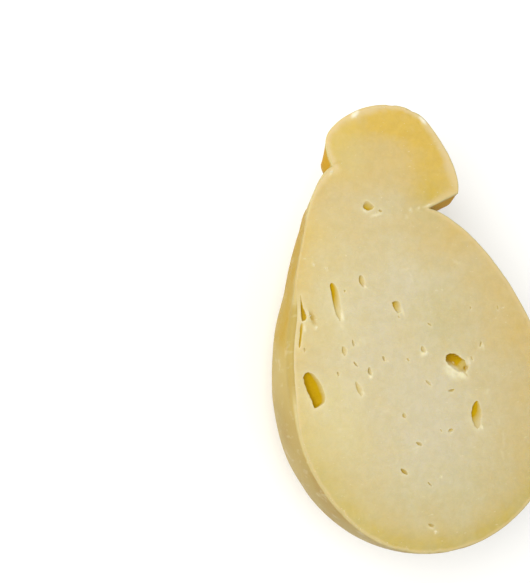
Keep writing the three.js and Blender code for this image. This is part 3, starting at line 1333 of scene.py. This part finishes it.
    def _eye_readings(self, spots: Grid) -> Tuple[Grid, Grid, Grid]:
        """What the eyes do to each vertex.

        Args:
            spots: places on the plane.

        Returns:
            Depth under the rim, gold of the wall, and the lip that the blade raised round the
            mouth, most of it below.
        """
        sunk, hollow, lip = (np.zeros(len(spots)) for _ in range(3))
        for eye, mouth in zip(self.eyes, self.mouths):
            near = within_reach(spots, mouth, eye.long / 2 + 5.0)
            gap = clearance(spots[near], mouth)
            within = inside(spots[near], mouth)
            on_rim = gap < 0.02
            own = near[within | on_rim]
            depth, gold = eye.hollow(spots[own], clearance(spots[own], mouth))
            sunk[own] = np.where(on_rim[within | on_rim], 0.0, depth)
            hollow[own] = gold
            away = spots[near] - mouth.mean(axis=0)
            away /= np.maximum(np.linalg.norm(away, axis=1), 1e-6)[:, None]
            # the lip is strongest below, where its pale colour is partly a painted highlight
            share = 0.4 + 0.6 * np.maximum(away @ np.array([-0.3, -0.95]), 0.0)
            raised = eye.lip * share * np.exp(-gap / (0.45 + 0.05 * eye.long))
            lip[near] = np.maximum(lip[near], np.where(within, 0.0, raised))
        return sunk, hollow, lip

    def _smear_readings(self, spots: Grid) -> Tuple[Grid, Grid, Grid]:
        """What the smears do to each vertex.

        Args:
            spots: places on the plane.

        Returns:
            How far it is pressed up, how dull it is, and how chalky.
        """
        pressed, dull, chalk = (np.zeros(len(spots)) for _ in range(3))
        deep = on_plane(spots)
        for smear in self.smears:
            weight = smear.weight(spots) * (1.0 + 0.5 * ripple(deep, 1.5, 12.0, 1))
            chalk = np.maximum(chalk, smear.chalk * weight)
            if smear.lift > 0:
                pressed = np.maximum(pressed, smear.lift * weight)
            else:
                dull = np.maximum(dull, -smear.lift * weight)
        return pressed, dull, chalk

    def _waves(self, spots: Grid) -> Grid:
        """Height of the slow waves, the drag lines and the grain that the blade left.

        Args:
            spots: places on the plane.

        Returns:
            Millimetres over the plane.
        """
        deep = on_plane(spots)
        drag = deep * np.array([1.0 / 6.0, 1.0, 1.0])
        height = self.wave * (ripple(deep, 30.0, 6.0, 2) - 0.1)
        return height + 0.08 * ripple(drag, 3.5, 7.0, 2) + 0.035 * ripple(deep, 1.6, 8.0, 2)

    @staticmethod
    def _dry_band(spots: Grid, inset: Grid) -> Grid:
        """The dry golden-cream band inside the rind: broad round the head, narrow round the ball.

        Args:
            spots: places on the plane.
            inset: their distance from the face's edge.

        Returns:
            The band's strength, from 0 to 1.
        """
        x, y = spots[:, 0], spots[:, 1]
        head = ease(150.0, 168.0, y)
        flank = ease(0.0, 16.0, x) * ease(20.0, 70.0, y)
        sides = 1.0 - 0.55 * np.exp(-(((x - 6.0) / 10.0) ** 2)) - 0.35 * ease(-22.0, -34.0, x)
        sides = sides + 0.6 * ease(14.0, 24.0, x)
        width = 0.9 + 2.2 * head * sides + 0.8 * flank * (1.0 - head)
        width = width * (1.0 - 0.8 * ease(104.0, 116.0, y) * ease(-20.0, -32.0, x) * (1.0 - head))
        width = width * (1.0 + 0.5 * ripple(on_plane(spots), 6.0, 11.0, 3))
        return (0.6 + 0.3 * head) * (1.0 - ease(0.2, 1.5, inset / width))


@dataclass
class ProvolaHalf:
    """The half cheese: rind, cut face and eyes as one closed mesh."""

    form: PearForm = field(default_factory=PearForm)
    eyes: List[GasEye] = field(default_factory=face_eyes)
    smears: List[Smear] = field(default_factory=face_smears)
    face: Optional[CutFace] = field(default=None, init=False)
    outline: Grid = field(default_factory=lambda: np.zeros((0, 2)), init=False)
    shift: Grid = field(default_factory=lambda: np.zeros(3), init=False)

    def build(self, finishes: Sequence[bpy.types.Material]) -> bpy.types.Object:
        """Builds the half and fits it to the solid's box.

        Args:
            finishes: materials of the paste, the eyes and the rind.

        Returns:
            The finished object.
        """
        rind = Rind(self.form)
        stack = rind.rings()
        skin = rind.surface(stack)
        mesh = HalfMesh()
        outline_ids = self._add_rind(mesh, skin, rind)
        self.outline = np.vstack(mesh.points)[outline_ids][:, :2]
        self.face = CutFace(self.eyes, self.smears)
        self._add_face(mesh, outline_ids)
        self.shift = self._shift(stack)
        return mesh.to_object("provola_cut_half", self.shift, finishes)

    @staticmethod
    def _add_rind(mesh: HalfMesh, skin: Grid, rind: Rind) -> Grid:
        """Adds the rind's grid.

        Args:
            mesh: the growing mesh.
            skin: the rind's points, ring by ring.
            rind: the rind that they came from.

        Returns:
            Vertex numbers of the face's edge, in order.
        """
        rings, columns = skin.shape[:2]
        first_cut = rind.first_cut
        first = mesh.add_points(skin.reshape(-1, 3), **rind.readings(skin))
        number = first + np.arange(rings * columns).reshape(rings, columns)
        # rings under the cut close on themselves, and the first and last shrink to one vertex
        number[:first_cut + 1, -1] = number[:first_cut + 1, 0]
        number[0, :] = number[0, 0]
        number[-1, :] = number[-1, 0]
        quads = np.stack([number[:-1, :-1], number[1:, :-1], number[1:, 1:], number[:-1, 1:]], axis=-1)
        corners = (tuple(dict.fromkeys(quad)) for quad in quads.reshape(-1, 4).tolist())
        mesh.add_facets([facet for facet in corners if len(facet) > 2], Skin.RIND)
        way_up, way_down = number[first_cut:, -1], number[first_cut:, 0][::-1]
        return np.array(list(dict.fromkeys(np.concatenate([way_up, way_down]).tolist())))

    def _add_face(self, mesh: HalfMesh, outline_ids: Grid) -> None:
        """Adds the face's triangles, down into the eyes.

        Args:
            mesh: the growing mesh, which has the rind.
            outline_ids: vertex numbers of the face's edge.
        """
        face = self.face
        fill = face.fill_points(self.outline)
        triangles, hollow = face.triangulate(self.outline, fill)
        spots = np.vstack(face.mouths + face.feet + [fill])
        found = face.readings(spots, self.outline)
        height, flat = found.pop("height"), found.pop("flat")
        rim = sum(len(mouth) for mouth in face.mouths)
        height[:rim] = flat[:rim]
        first = mesh.add_points(np.column_stack([spots, height]), **found)
        number = np.concatenate([outline_ids, first + np.arange(len(spots))])
        for inside_eye, skin in ((False, Skin.PASTE), (True, Skin.EYE)):
            corners = number[triangles[hollow == inside_eye]].tolist()
            mesh.add_facets([tuple(facet) for facet in corners], skin)

    @staticmethod
    def _shift(stack: RingStack) -> Grid:
        """What moves the loft's frame onto the solid's box.

        Args:
            stack: the loft's rings.

        Returns:
            The shift in millimetres.
        """
        low, high = (np.array(corner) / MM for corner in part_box(NODE))
        wide = stack.depth > np.abs(stack.axis)
        x_middle = (stack.left[wide, 0].min() + stack.right[wide, 0].max()) / 2.0
        y_middle = max(stack.left[:, 1].max(), stack.right[:, 1].max()) / 2.0
        return np.array([(low[0] + high[0]) / 2 - x_middle, (low[1] + high[1]) / 2 - y_middle, high[2]])


@dataclass
class CurdCrumbs:
    """Specks of curd that the blade tore off and left, as one joined mesh of small uneven lumps.

    Some lie on the ridges that it pressed up, `strewn` of them anywhere on the face, `rim` along
    the lower left edge and `crown` at the head's rim, all half sunk in the paste. `smallest` and
    `largest` are half widths in millimetres.
    """

    smallest: float = 0.12
    largest: float = 0.32
    strewn: int = 30
    rim: int = 18
    crown: int = 6
    pressed: float = 0.3
    margin: float = 6.0
    seed: int = 19

    def build(self, half: ProvolaHalf, paste: bpy.types.Material) -> bpy.types.Object:
        """Builds the crumbs on the finished half.

        Args:
            half: the half cheese, already built.
            paste: the crumbs' material.

        Returns:
            The joined crumbs.
        """
        dice = np.random.default_rng(self.seed)
        mesh = bmesh.new()
        for place, size in self._places(half, dice):
            self._lump(mesh, place + half.shift, size, dice)
        data = bpy.data.meshes.new("curd_crumbs")
        mesh.to_mesh(data)
        mesh.free()
        data.materials.append(paste)
        pale = data.attributes.new("pale", "FLOAT", "POINT")
        pale.data.foreach_set("value", np.ones(len(data.vertices)))
        for facet in data.polygons:
            facet.use_smooth = True
        return link(bpy.data.objects.new("curd_crumbs", data))

    def _places(self, half: ProvolaHalf, dice: np.random.Generator) -> List[Tuple[Grid, float]]:
        """Where the crumbs lie, and how large each one is.

        Args:
            half: the half cheese, already built.
            dice: the crumbs' random draws.

        Returns:
            Place and half width of each crumb, in millimetres.
        """
        edge = half.outline
        places: List[Tuple[Grid, float]] = []
        pressed = [smear for smear in half.smears if smear.lift >= self.pressed for _ in range(3)]
        spots = np.array([[smear.x, smear.y] for smear in pressed])
        wide = np.array([[smear.wide] for smear in pressed])
        spots = spots + dice.normal(0.0, 0.3, spots.shape) * wide
        clear = inside(spots, edge) & (clearance(spots, edge) > 0.5)
        for mouth in half.face.mouths:
            clear &= ~inside(spots, mouth)
        for spot in spots[clear]:
            places.append((np.array([*spot, 0.05]), dice.uniform(0.5, 0.9) * self.largest))
        low, high = edge.min(axis=0) + self.margin, edge.max(axis=0) - self.margin
        strewn = dice.uniform(low, high, (self.strewn, 2))
        for spot in strewn[inside(strewn, edge)]:
            places.append((np.array([*spot, 0.02]), dice.uniform(self.smallest, 0.6 * self.largest)))
        lower_left = np.where((edge[:, 0] < -18.0) & (edge[:, 1] < 62.0) & (edge[:, 1] > 4.0))[0]
        head = np.where(edge[:, 1] > 178.0)[0]
        heart = edge.mean(axis=0)
        for number in np.concatenate([dice.choice(lower_left, self.rim), dice.choice(head, self.crown)]):
            spot = edge[number] + (heart - edge[number]) * dice.uniform(0.002, 0.012)
            place = np.array([*spot, -0.05])
            places.append((place, dice.uniform(self.smallest, 0.8 * self.largest)))
        return places

    @staticmethod
    def _lump(mesh: bmesh.types.BMesh, place: Grid, size: float, dice: np.random.Generator) -> None:
        """Adds one uneven lump.

        Args:
            mesh: the crumbs' growing mesh.
            place: middle of the lump in millimetres.
            size: its half width in millimetres.
            dice: the crumbs' random draws.
        """
        grown = bmesh.ops.create_icosphere(mesh, subdivisions=1, radius=1.0)
        stretch = dice.uniform(0.6, 1.5, 3) * np.array([1.0, 1.0, 0.6])
        turn = Euler(dice.uniform(0.0, 3.1, 3).tolist()).to_matrix()
        for vertex in grown["verts"]:
            local = Vector(np.array(vertex.co) * stretch * dice.uniform(0.8, 1.15))
            vertex.co = (Vector(place.tolist()) + turn @ local * size) * MM


@dataclass(frozen=True)
class Finish:
    """What every curd finish has: a sheen, light that enters it, and a fine relief.

    `entering` is the share of the light that goes into the curd and comes out nearby; red goes
    `reach` millimetres deep, and `tint` says how deep each colour goes as a share of that. `bump`
    is the strength of the relief and `relief` its height in millimetres.
    """

    title: str = "curd"
    roughness: float = 0.5
    ior: float = 1.46
    specular: float = 0.13
    entering: float = 0.2
    tint: Tuple[float, float, float] = (1.0, 0.7, 0.2)
    reach: float = 2.0
    bump: float = 0.25
    relief: float = 0.6

    def start(self) -> Tree:
        """Makes an empty material.

        Returns:
            The material's tree.
        """
        material = bpy.data.materials.new(self.title)
        material.use_nodes = True
        material.node_tree.nodes.clear()
        return material.node_tree

    def close(self, tree: Tree, colour: Socket, height: Socket) -> bpy.types.Material:
        """Closes the material with its relief, its shader and its output.

        Args:
            tree: the material's tree.
            colour: the finished colour.
            height: height of the fine relief.

        Returns:
            The material.
        """
        bump = add_node(tree, "ShaderNodeBump", {}, {
            "Height": height, "Strength": self.bump, "Distance": self.relief * MM})
        shader = add_node(tree, "ShaderNodeBsdfPrincipled", {}, {
            "Base Color": colour, "Roughness": self.roughness, "IOR": self.ior,
            "Specular IOR Level": self.specular, "Subsurface Weight": self.entering,
            "Subsurface Radius": self.tint, "Subsurface Scale": self.reach * MM,
            "Normal": bump.outputs[0]})
        add_node(tree, "ShaderNodeOutputMaterial", {}, {"Surface": shader.outputs[0]})
        return bpy.data.materials[self.title]


@dataclass(frozen=True)
class CutPaste(Finish):
    """Stretched curd cut with a long knife: close, moist and slightly waxy.

    Light enters it a few millimetres, so it looks soft; fat makes a broad, weak sheen; the blade
    leaves faint drag marks. The tones run from unripe to ripe, `olive` and `strand` darken
    what they lie on, `olive` partly as painted shade, `fair` lightens the left
    side, partly as painted light, and the sizes are in millimetres: clouds, mottle, strands, flecks,
    drag marks and pores. Real pores are a few tenths of a millimetre, and are drawn coarser so
    that they show.
    """

    title: str = "cut_curd_paste"
    ior: float = 1.45
    specular: float = 0.3
    entering: float = 0.3
    tint: Tuple[float, float, float] = (1.0, 0.7, 0.25)
    tones: Tuple[Tuple[float, str], ...] = (
        (0.0, "#BDB394"), (0.24, "#BDB088"), (0.37, "#BCAC7F"), (0.68, "#BFA86D"), (1.0, "#C3A54D"),
    )
    # painted shade as well as a cooler cast: darkens the paste along the bottom and in the notch
    olive: str = "#EFF7F1"
    strand: str = "#F9F9F6"
    # partly painted light: lightens the left side of the face
    fair: str = "#C9BC7E"
    pale: str = "#D2CAA6"
    rim: str = "#C8B484"
    dull: str = "#AA9048"
    chalk: str = "#DCD5C0"
    clouding: float = 0.38
    mottling: float = 0.16
    cloud_size: float = 9.09
    mottle_size: float = 2.083
    strand_size: float = 3.846
    fleck_size: Tuple[float, float, float] = (2.381, 0.909, 2.0)
    drag_size: Tuple[float, float, float] = (14.286, 0.909, 14.286)
    pore_size: float = 1.4286

    def tone(self, tree: Tree, spot: Socket) -> Socket:
        """Colour of the plain paste, by how ripe it is and by its small clouds.

        Args:
            tree: the material's tree.
            spot: place on the piece.

        Returns:
            The colour.
        """
        ripe, olive, fair = (
            add_node(tree, "ShaderNodeAttribute", {"attribute_name": name}).outputs["Fac"]
            for name in ("ripe", "olive", "fair"))
        # clouds and mottle shift how ripe the curd looks, by as much up as down
        cloud = add_node(tree, "ShaderNodeTexNoise", {}, {
            "Vector": spot, "Scale": cells(self.cloud_size), "Detail": 3.0})
        mottle = add_node(tree, "ShaderNodeTexNoise", {}, {
            "Vector": spot, "Scale": cells(self.mottle_size), "Detail": 4.0})
        drift = add_node(tree, "ShaderNodeMath", {"operation": "MULTIPLY_ADD"}, {
            0: cloud.outputs["Fac"], 1: self.clouding, 2: -(self.clouding + self.mottling) / 2})
        grain = add_node(tree, "ShaderNodeMath", {"operation": "MULTIPLY_ADD"}, {
            0: mottle.outputs["Fac"], 1: self.mottling, 2: drift.outputs[0]})
        tone = add_node(tree, "ShaderNodeMath", {"operation": "ADD"}, {0: ripe, 1: grain.outputs[0]})
        ramp = add_node(tree, "ShaderNodeValToRGB", {}, {"Fac": tone.outputs[0]}, self.tones)
        # knitted strands of curd, a shade darker than what lies between them
        strand = add_node(tree, "ShaderNodeTexNoise", {}, {
            "Vector": spot, "Scale": cells(self.strand_size), "Detail": 5.0, "Roughness": 0.6,
            "Distortion": 0.6})
        shade = add_node(tree, "ShaderNodeMapRange", {}, {
            "Value": strand.outputs["Fac"], "From Min": 0.40, "From Max": 0.60})
        colour = ramp.outputs["Color"]
        # olive is partly painted shade, fair partly painted light
        for blend, share, over in (
            ("MULTIPLY", olive, self.olive),
            ("MULTIPLY", shade.outputs[0], self.strand),
            ("MIX", fair, self.fair),
        ):
            colour = add_node(tree, "ShaderNodeMix", {"data_type": "RGBA", "blend_type": blend}, {
                0: share, 6: colour, 7: linear(over)}).outputs[2]
        return colour

    def make(self) -> bpy.types.Material:
        """Makes the material.

        Returns:
            The material.
        """
        tree = self.start()
        spot = add_node(tree, "ShaderNodeTexCoord").outputs["Object"]
        rim, pale, dull, chalk = (
            add_node(tree, "ShaderNodeAttribute", {"attribute_name": name}).outputs["Fac"]
            for name in ("rim", "pale", "dull", "chalk"))
        # pale flecks, 2.4 mm long and 0.9 mm wide, lie aslant
        slant = add_node(tree, "ShaderNodeMapping", {}, {
            "Vector": spot, "Rotation": (0.0, 0.0, 1.1), "Scale": [cells(size) for size in self.fleck_size]})
        streak = add_node(tree, "ShaderNodeTexNoise", {}, {
            "Vector": slant.outputs[0], "Scale": 1.0, "Detail": 2.0})
        fleck = add_node(tree, "ShaderNodeMapRange", {"interpolation_type": "SMOOTHSTEP"}, {
            "Value": streak.outputs["Fac"], "From Min": 0.68, "From Max": 0.78, "To Max": 0.4})
        torn = add_node(tree, "ShaderNodeMath", {"operation": "MULTIPLY", "use_clamp": True}, {
            0: dull, 1: 1.8})
        # the dry band, the blade's lips (pale curd, partly a painted highlight), the flecks, torn
        # patches, and white curd at the head's rim
        colour = self.tone(tree, spot)
        for share, over in (
            (rim, self.rim),
            (pale, self.pale),
            (fleck.outputs[0], self.pale),
            (torn.outputs[0], self.dull),
            (chalk, self.chalk),
        ):
            colour = add_node(tree, "ShaderNodeMix", {"data_type": "RGBA"}, {
                0: share, 6: colour, 7: linear(over)}).outputs[2]
        # drag marks run across the face, 14 mm long and under 1 mm wide
        stretch = add_node(tree, "ShaderNodeMapping", {}, {
            "Vector": spot, "Scale": [cells(size) for size in self.drag_size]})
        drag = add_node(tree, "ShaderNodeTexNoise", {}, {
            "Vector": stretch.outputs[0], "Scale": 1.0, "Detail": 3.0})
        pore = add_node(tree, "ShaderNodeTexNoise", {}, {
            "Vector": spot, "Scale": cells(self.pore_size), "Detail": 4.0})
        height = add_node(tree, "ShaderNodeMath", {"operation": "MULTIPLY_ADD"}, {
            0: drag.outputs["Fac"], 1: 0.5, 2: pore.outputs["Fac"]})
        return self.close(tree, colour, height.outputs[0])


@dataclass(frozen=True)
class EyeWall(CutPaste):
    """The skin of a gas bubble in the curd: smooth and oily.

    Its colour is painted deep golden, and the deeper the wall the deeper the gold: painted shade
    of the hollow, and painted light that has crossed the paste. `steps` are where each deeper
    colour begins and is full. Blister marks, `blister_size` millimetres wide, shift them by up to
    half of `blistering`.
    """

    title: str = "gas_eye_wall"
    roughness: float = 0.6
    ior: float = 1.46
    specular: float = 0.06
    entering: float = 0.2
    tint: Tuple[float, float, float] = (1.0, 0.7, 0.2)
    bump: float = 0.15
    # painted shade and light: the gold deepens with the hollow reading
    steps: Tuple[Tuple[float, float, str], ...] = (
        (0.0, 0.35, "#B29D59"), (0.4, 0.9, "#AA8902"), (1.2, 3.2, "#9D7A06"),
    )
    blister_size: float = 1.5385
    blistering: float = 0.12

    def make(self) -> bpy.types.Material:
        """Makes the material.

        Returns:
            The material.
        """
        tree = self.start()
        spot = add_node(tree, "ShaderNodeTexCoord").outputs["Object"]
        hollow, dull, pale = (
            add_node(tree, "ShaderNodeAttribute", {"attribute_name": name}).outputs["Fac"]
            for name in ("hollow", "dull", "pale"))
        blister = add_node(tree, "ShaderNodeTexNoise", {}, {
            "Vector": spot, "Scale": cells(self.blister_size), "Detail": 3.0})
        shake = add_node(tree, "ShaderNodeMath", {"operation": "MULTIPLY_ADD"}, {
            0: blister.outputs["Fac"], 1: self.blistering, 2: -self.blistering / 2})
        depth = add_node(tree, "ShaderNodeMath", {"operation": "ADD"}, {0: hollow, 1: shake.outputs[0]})
        # painted shade and light: deeper gold where the hollow reading is higher
        layers = []
        for begin, full, over in self.steps:
            share = add_node(tree, "ShaderNodeMapRange", {}, {
                "Value": depth.outputs[0], "From Min": begin, "From Max": full})
            layers.append((share.outputs[0], over))
        # a notch in the floor takes the deepest painted gold, a torn crumb the pale curd
        layers += [(dull, self.steps[-1][2]), (pale, self.pale)]
        colour = self.tone(tree, spot)
        for share, over in layers:
            colour = add_node(tree, "ShaderNodeMix", {"data_type": "RGBA"}, {
                0: share, 6: colour, 7: linear(over)}).outputs[2]
        return self.close(tree, colour, blister.outputs["Fac"])


@dataclass(frozen=True)
class DriedRind(Finish):
    """The curd's own skin, brined, dried and rubbed: cream to tan, thin and a little greasy.

    Near the cut it is painted golden, as painted light coming through the cut and painted shade
    of the sides, and under the head's lip a darker gold is painted as shade; it has a white bloom
    where it has been handled. `low` is painted shade that darkens the lower rind, and `rubbed`
    darkens what it lies on. The sizes are in millimetres: tan patches, breaks in the gold, scuffs
    of the bloom, and pores, which are drawn coarser than the real ones so that they show.
    """

    title: str = "dried_curd_rind"
    tint: Tuple[float, float, float] = (1.0, 0.6, 0.2)
    tones: Tuple[Tuple[float, str], ...] = ((0.28, "#A78D4B"), (0.42, "#AD9A59"), (0.64, "#B4A163"))
    # painted light and shade: the deep gold painted near the cut
    gold: str = "#AA8920"
    # painted shade: the gold in the crease under the head's lip
    fold: str = "#B2881C"
    edge: str = "#C1B687"
    high_edge: str = "#B4A066"
    bloom: str = "#BEB184"
    # painted shade: darkens the lower rind
    low: str = "#F0EAE8"
    rubbed: str = "#F0EBD9"
    patch_size: float = 29.412
    break_size: float = 8.333
    scuff_size: Tuple[float, float, float] = (11.111, 3.846, 6.25)
    pore_size: float = 1.1111

    def make(self) -> bpy.types.Material:
        """Makes the material.

        Returns:
            The material.
        """
        tree = self.start()
        spot = add_node(tree, "ShaderNodeTexCoord").outputs["Object"]
        glow, rubbed, low, fold, edge, high = (
            add_node(tree, "ShaderNodeAttribute", {"attribute_name": name}).outputs["Fac"]
            for name in ("glow", "rubbed", "low", "fold", "edge", "high"))
        patch = add_node(tree, "ShaderNodeTexNoise", {}, {
            "Vector": spot, "Scale": cells(self.patch_size), "Detail": 4.0})
        ramp = add_node(tree, "ShaderNodeValToRGB", {}, {"Fac": patch.outputs["Fac"]}, self.tones)
        # the painted gold band near the cut, painted light and shade, is broken by smaller patches
        break_up = add_node(tree, "ShaderNodeTexNoise", {}, {
            "Vector": spot, "Scale": cells(self.break_size), "Detail": 3.0})
        broken = add_node(tree, "ShaderNodeMapRange", {}, {
            "Value": break_up.outputs["Fac"], "From Min": 0.35, "From Max": 0.6, "To Min": 0.7,
            "To Max": 1.0})
        painted_gold_share = add_node(tree, "ShaderNodeMath", {"operation": "MULTIPLY", "use_clamp": True}, {
            0: broken.outputs[0], 1: glow})
        # bloom: broken scuffs that lie aslant
        slant = add_node(tree, "ShaderNodeMapping", {}, {
            "Vector": spot, "Rotation": (0.3, 0.2, 0.9), "Scale": [cells(size) for size in self.scuff_size]})
        scuff = add_node(tree, "ShaderNodeTexNoise", {}, {
            "Vector": slant.outputs[0], "Scale": 1.0, "Detail": 6.0})
        mask = add_node(tree, "ShaderNodeMapRange", {"interpolation_type": "SMOOTHSTEP"}, {
            "Value": scuff.outputs["Fac"], "From Min": 0.56, "From Max": 0.70, "To Max": 0.8})
        # the bare curd at the knife's edge is a shade darker on the left shoulder
        edging = add_node(tree, "ShaderNodeMix", {"data_type": "RGBA"}, {
            0: high, 6: linear(self.edge), 7: linear(self.high_edge)})
        colour = ramp.outputs["Color"]
        # painted light and shade: the gold band near the cut, low and fold
        for blend, share, over in (
            ("MIX", mask.outputs[0], linear(self.bloom)),
            ("MIX", painted_gold_share.outputs[0], linear(self.gold)),
            ("MULTIPLY", rubbed, linear(self.rubbed)),
            ("MULTIPLY", low, linear(self.low)),
            ("MIX", fold, linear(self.fold)),
            ("MIX", edge, edging.outputs[2]),
        ):
            colour = add_node(tree, "ShaderNodeMix", {"data_type": "RGBA", "blend_type": blend}, {
                0: share, 6: colour, 7: over}).outputs[2]
        pore = add_node(tree, "ShaderNodeTexNoise", {}, {
            "Vector": spot, "Scale": cells(self.pore_size), "Detail": 4.0})
        height = add_node(tree, "ShaderNodeMath", {"operation": "MULTIPLY_ADD"}, {
            0: scuff.outputs["Fac"], 1: 1.4, 2: pore.outputs["Fac"]})
        return self.close(tree, colour, height.outputs[0])


@dataclass(frozen=True)
class PaleBoard:
    """Matt white laminate that the cheese lies on: nearly white, with no gloss to speak of."""

    colour: str = "#FAFAF8"
    roughness: float = 0.8

    def make(self) -> bpy.types.Material:
        """Makes the material.

        Returns:
            The material.
        """
        material = bpy.data.materials.new("pale_floor")
        material.use_nodes = True
        shader = material.node_tree.nodes["Principled BSDF"]
        shader.inputs["Base Color"].default_value = linear(self.colour)
        shader.inputs["Roughness"].default_value = self.roughness
        return material


@dataclass(frozen=True)
class Lamp:
    """A square soft light that faces the cheese: its place and side in metres, and its watts."""

    role: Light
    place: Tuple[float, float, float]
    side: float
    power: float
    colour: str = "#FFFEFC"

    def hang(self) -> None:
        """Adds the light to the scene."""
        lamp = bpy.data.lights.new(self.role.value, "AREA")
        lamp.shape = "SQUARE"
        lamp.size = self.side
        lamp.energy = self.power
        lamp.color = linear(self.colour)[:3]
        thing = link(bpy.data.objects.new(self.role.value, lamp))
        thing.location = self.place
        thing.rotation_euler = (-Vector(self.place)).to_track_quat("-Z", "Y").to_euler()


@dataclass(frozen=True)
class Studio:
    """Pale floor, soft lights, and a camera that looks down on the cut face from the left.

    Lengths are in metres, the camera's turns in degrees and its lens in millimetres. `drop` is how
    far the floor lies under the resting plane.
    """

    floor_side: float = 4.0
    drop: float = 0.0001
    sky: float = 0.60
    sky_colour: str = "#FFFFFF"
    lamps: Tuple[Lamp, ...] = (
        Lamp(Light.KEY, (-0.40, 0.12, 0.57), 0.45, 4.3),
        Lamp(Light.FILL, (0.5, -0.7, 1.1), 1.2, 3.0),
        Lamp(Light.RIM, (1.0, 0.3, 0.9), 0.9, 1.5),
    )
    camera_at: Tuple[float, float, float] = (-0.2379, 0.0291, 0.4843)
    camera_turn: Tuple[float, float, float] = (3.0, -21.97, -9.09)
    lens: float = 67.9
    nearest: float = 0.01

    def build(self) -> None:
        """Lays the floor, hangs the lights and sets the camera."""
        scene = bpy.context.scene
        scene.view_settings.view_transform = "Standard"
        self._floor()
        scene.world = self._sky()
        for lamp in self.lamps:
            lamp.hang()
        eye = bpy.data.cameras.new("camera")
        eye.lens = self.lens
        eye.clip_start = self.nearest
        camera = link(bpy.data.objects.new("camera", eye))
        camera.location = self.camera_at
        camera.rotation_euler = Euler([math.radians(turn) for turn in self.camera_turn], "XYZ")
        scene.camera = camera

    def _floor(self) -> None:
        """Lays the pale floor, a hair under the resting plane."""
        half = self.floor_side / 2
        ring = ((-half, -half), (half, -half), (half, half), (-half, half))
        mesh = bpy.data.meshes.new("floor")
        mesh.from_pydata([(x, y, -self.drop) for x, y in ring], [], [(0, 1, 2, 3)])
        mesh.materials.append(PaleBoard().make())
        floor = link(bpy.data.objects.new("floor", mesh))

    def _sky(self) -> bpy.types.World:
        """Makes an even white all round.

        Returns:
            The world.
        """
        world = bpy.data.worlds.new("soft_white")
        world.use_nodes = True
        back = world.node_tree.nodes["Background"]
        back.inputs["Color"].default_value = linear(self.sky_colour)
        back.inputs["Strength"].default_value = self.sky
        return world


def dress(piece: bpy.types.Object) -> None:
    """Puts a piece on the cheese's one body, and logs its size.

    Args:
        piece: a finished piece.
    """
    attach(piece, "root")
    size = piece.dimensions
    LOG.info("%s: %.1f x %.1f x %.1f mm", piece.name, size.x / MM, size.y / MM, size.z / MM)


def main() -> None:
    """Builds the studio and the cheese."""
    logging.basicConfig(level=logging.INFO, format="%(name)s: %(message)s")
    Studio().build()
    paste = CutPaste().make()
    half = ProvolaHalf()
    piece = half.build([paste, EyeWall().make(), DriedRind().make()])
    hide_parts(NODE)
    dress(piece)
    dress(CurdCrumbs().build(half, paste))


if __name__ == "__main__":
    main()
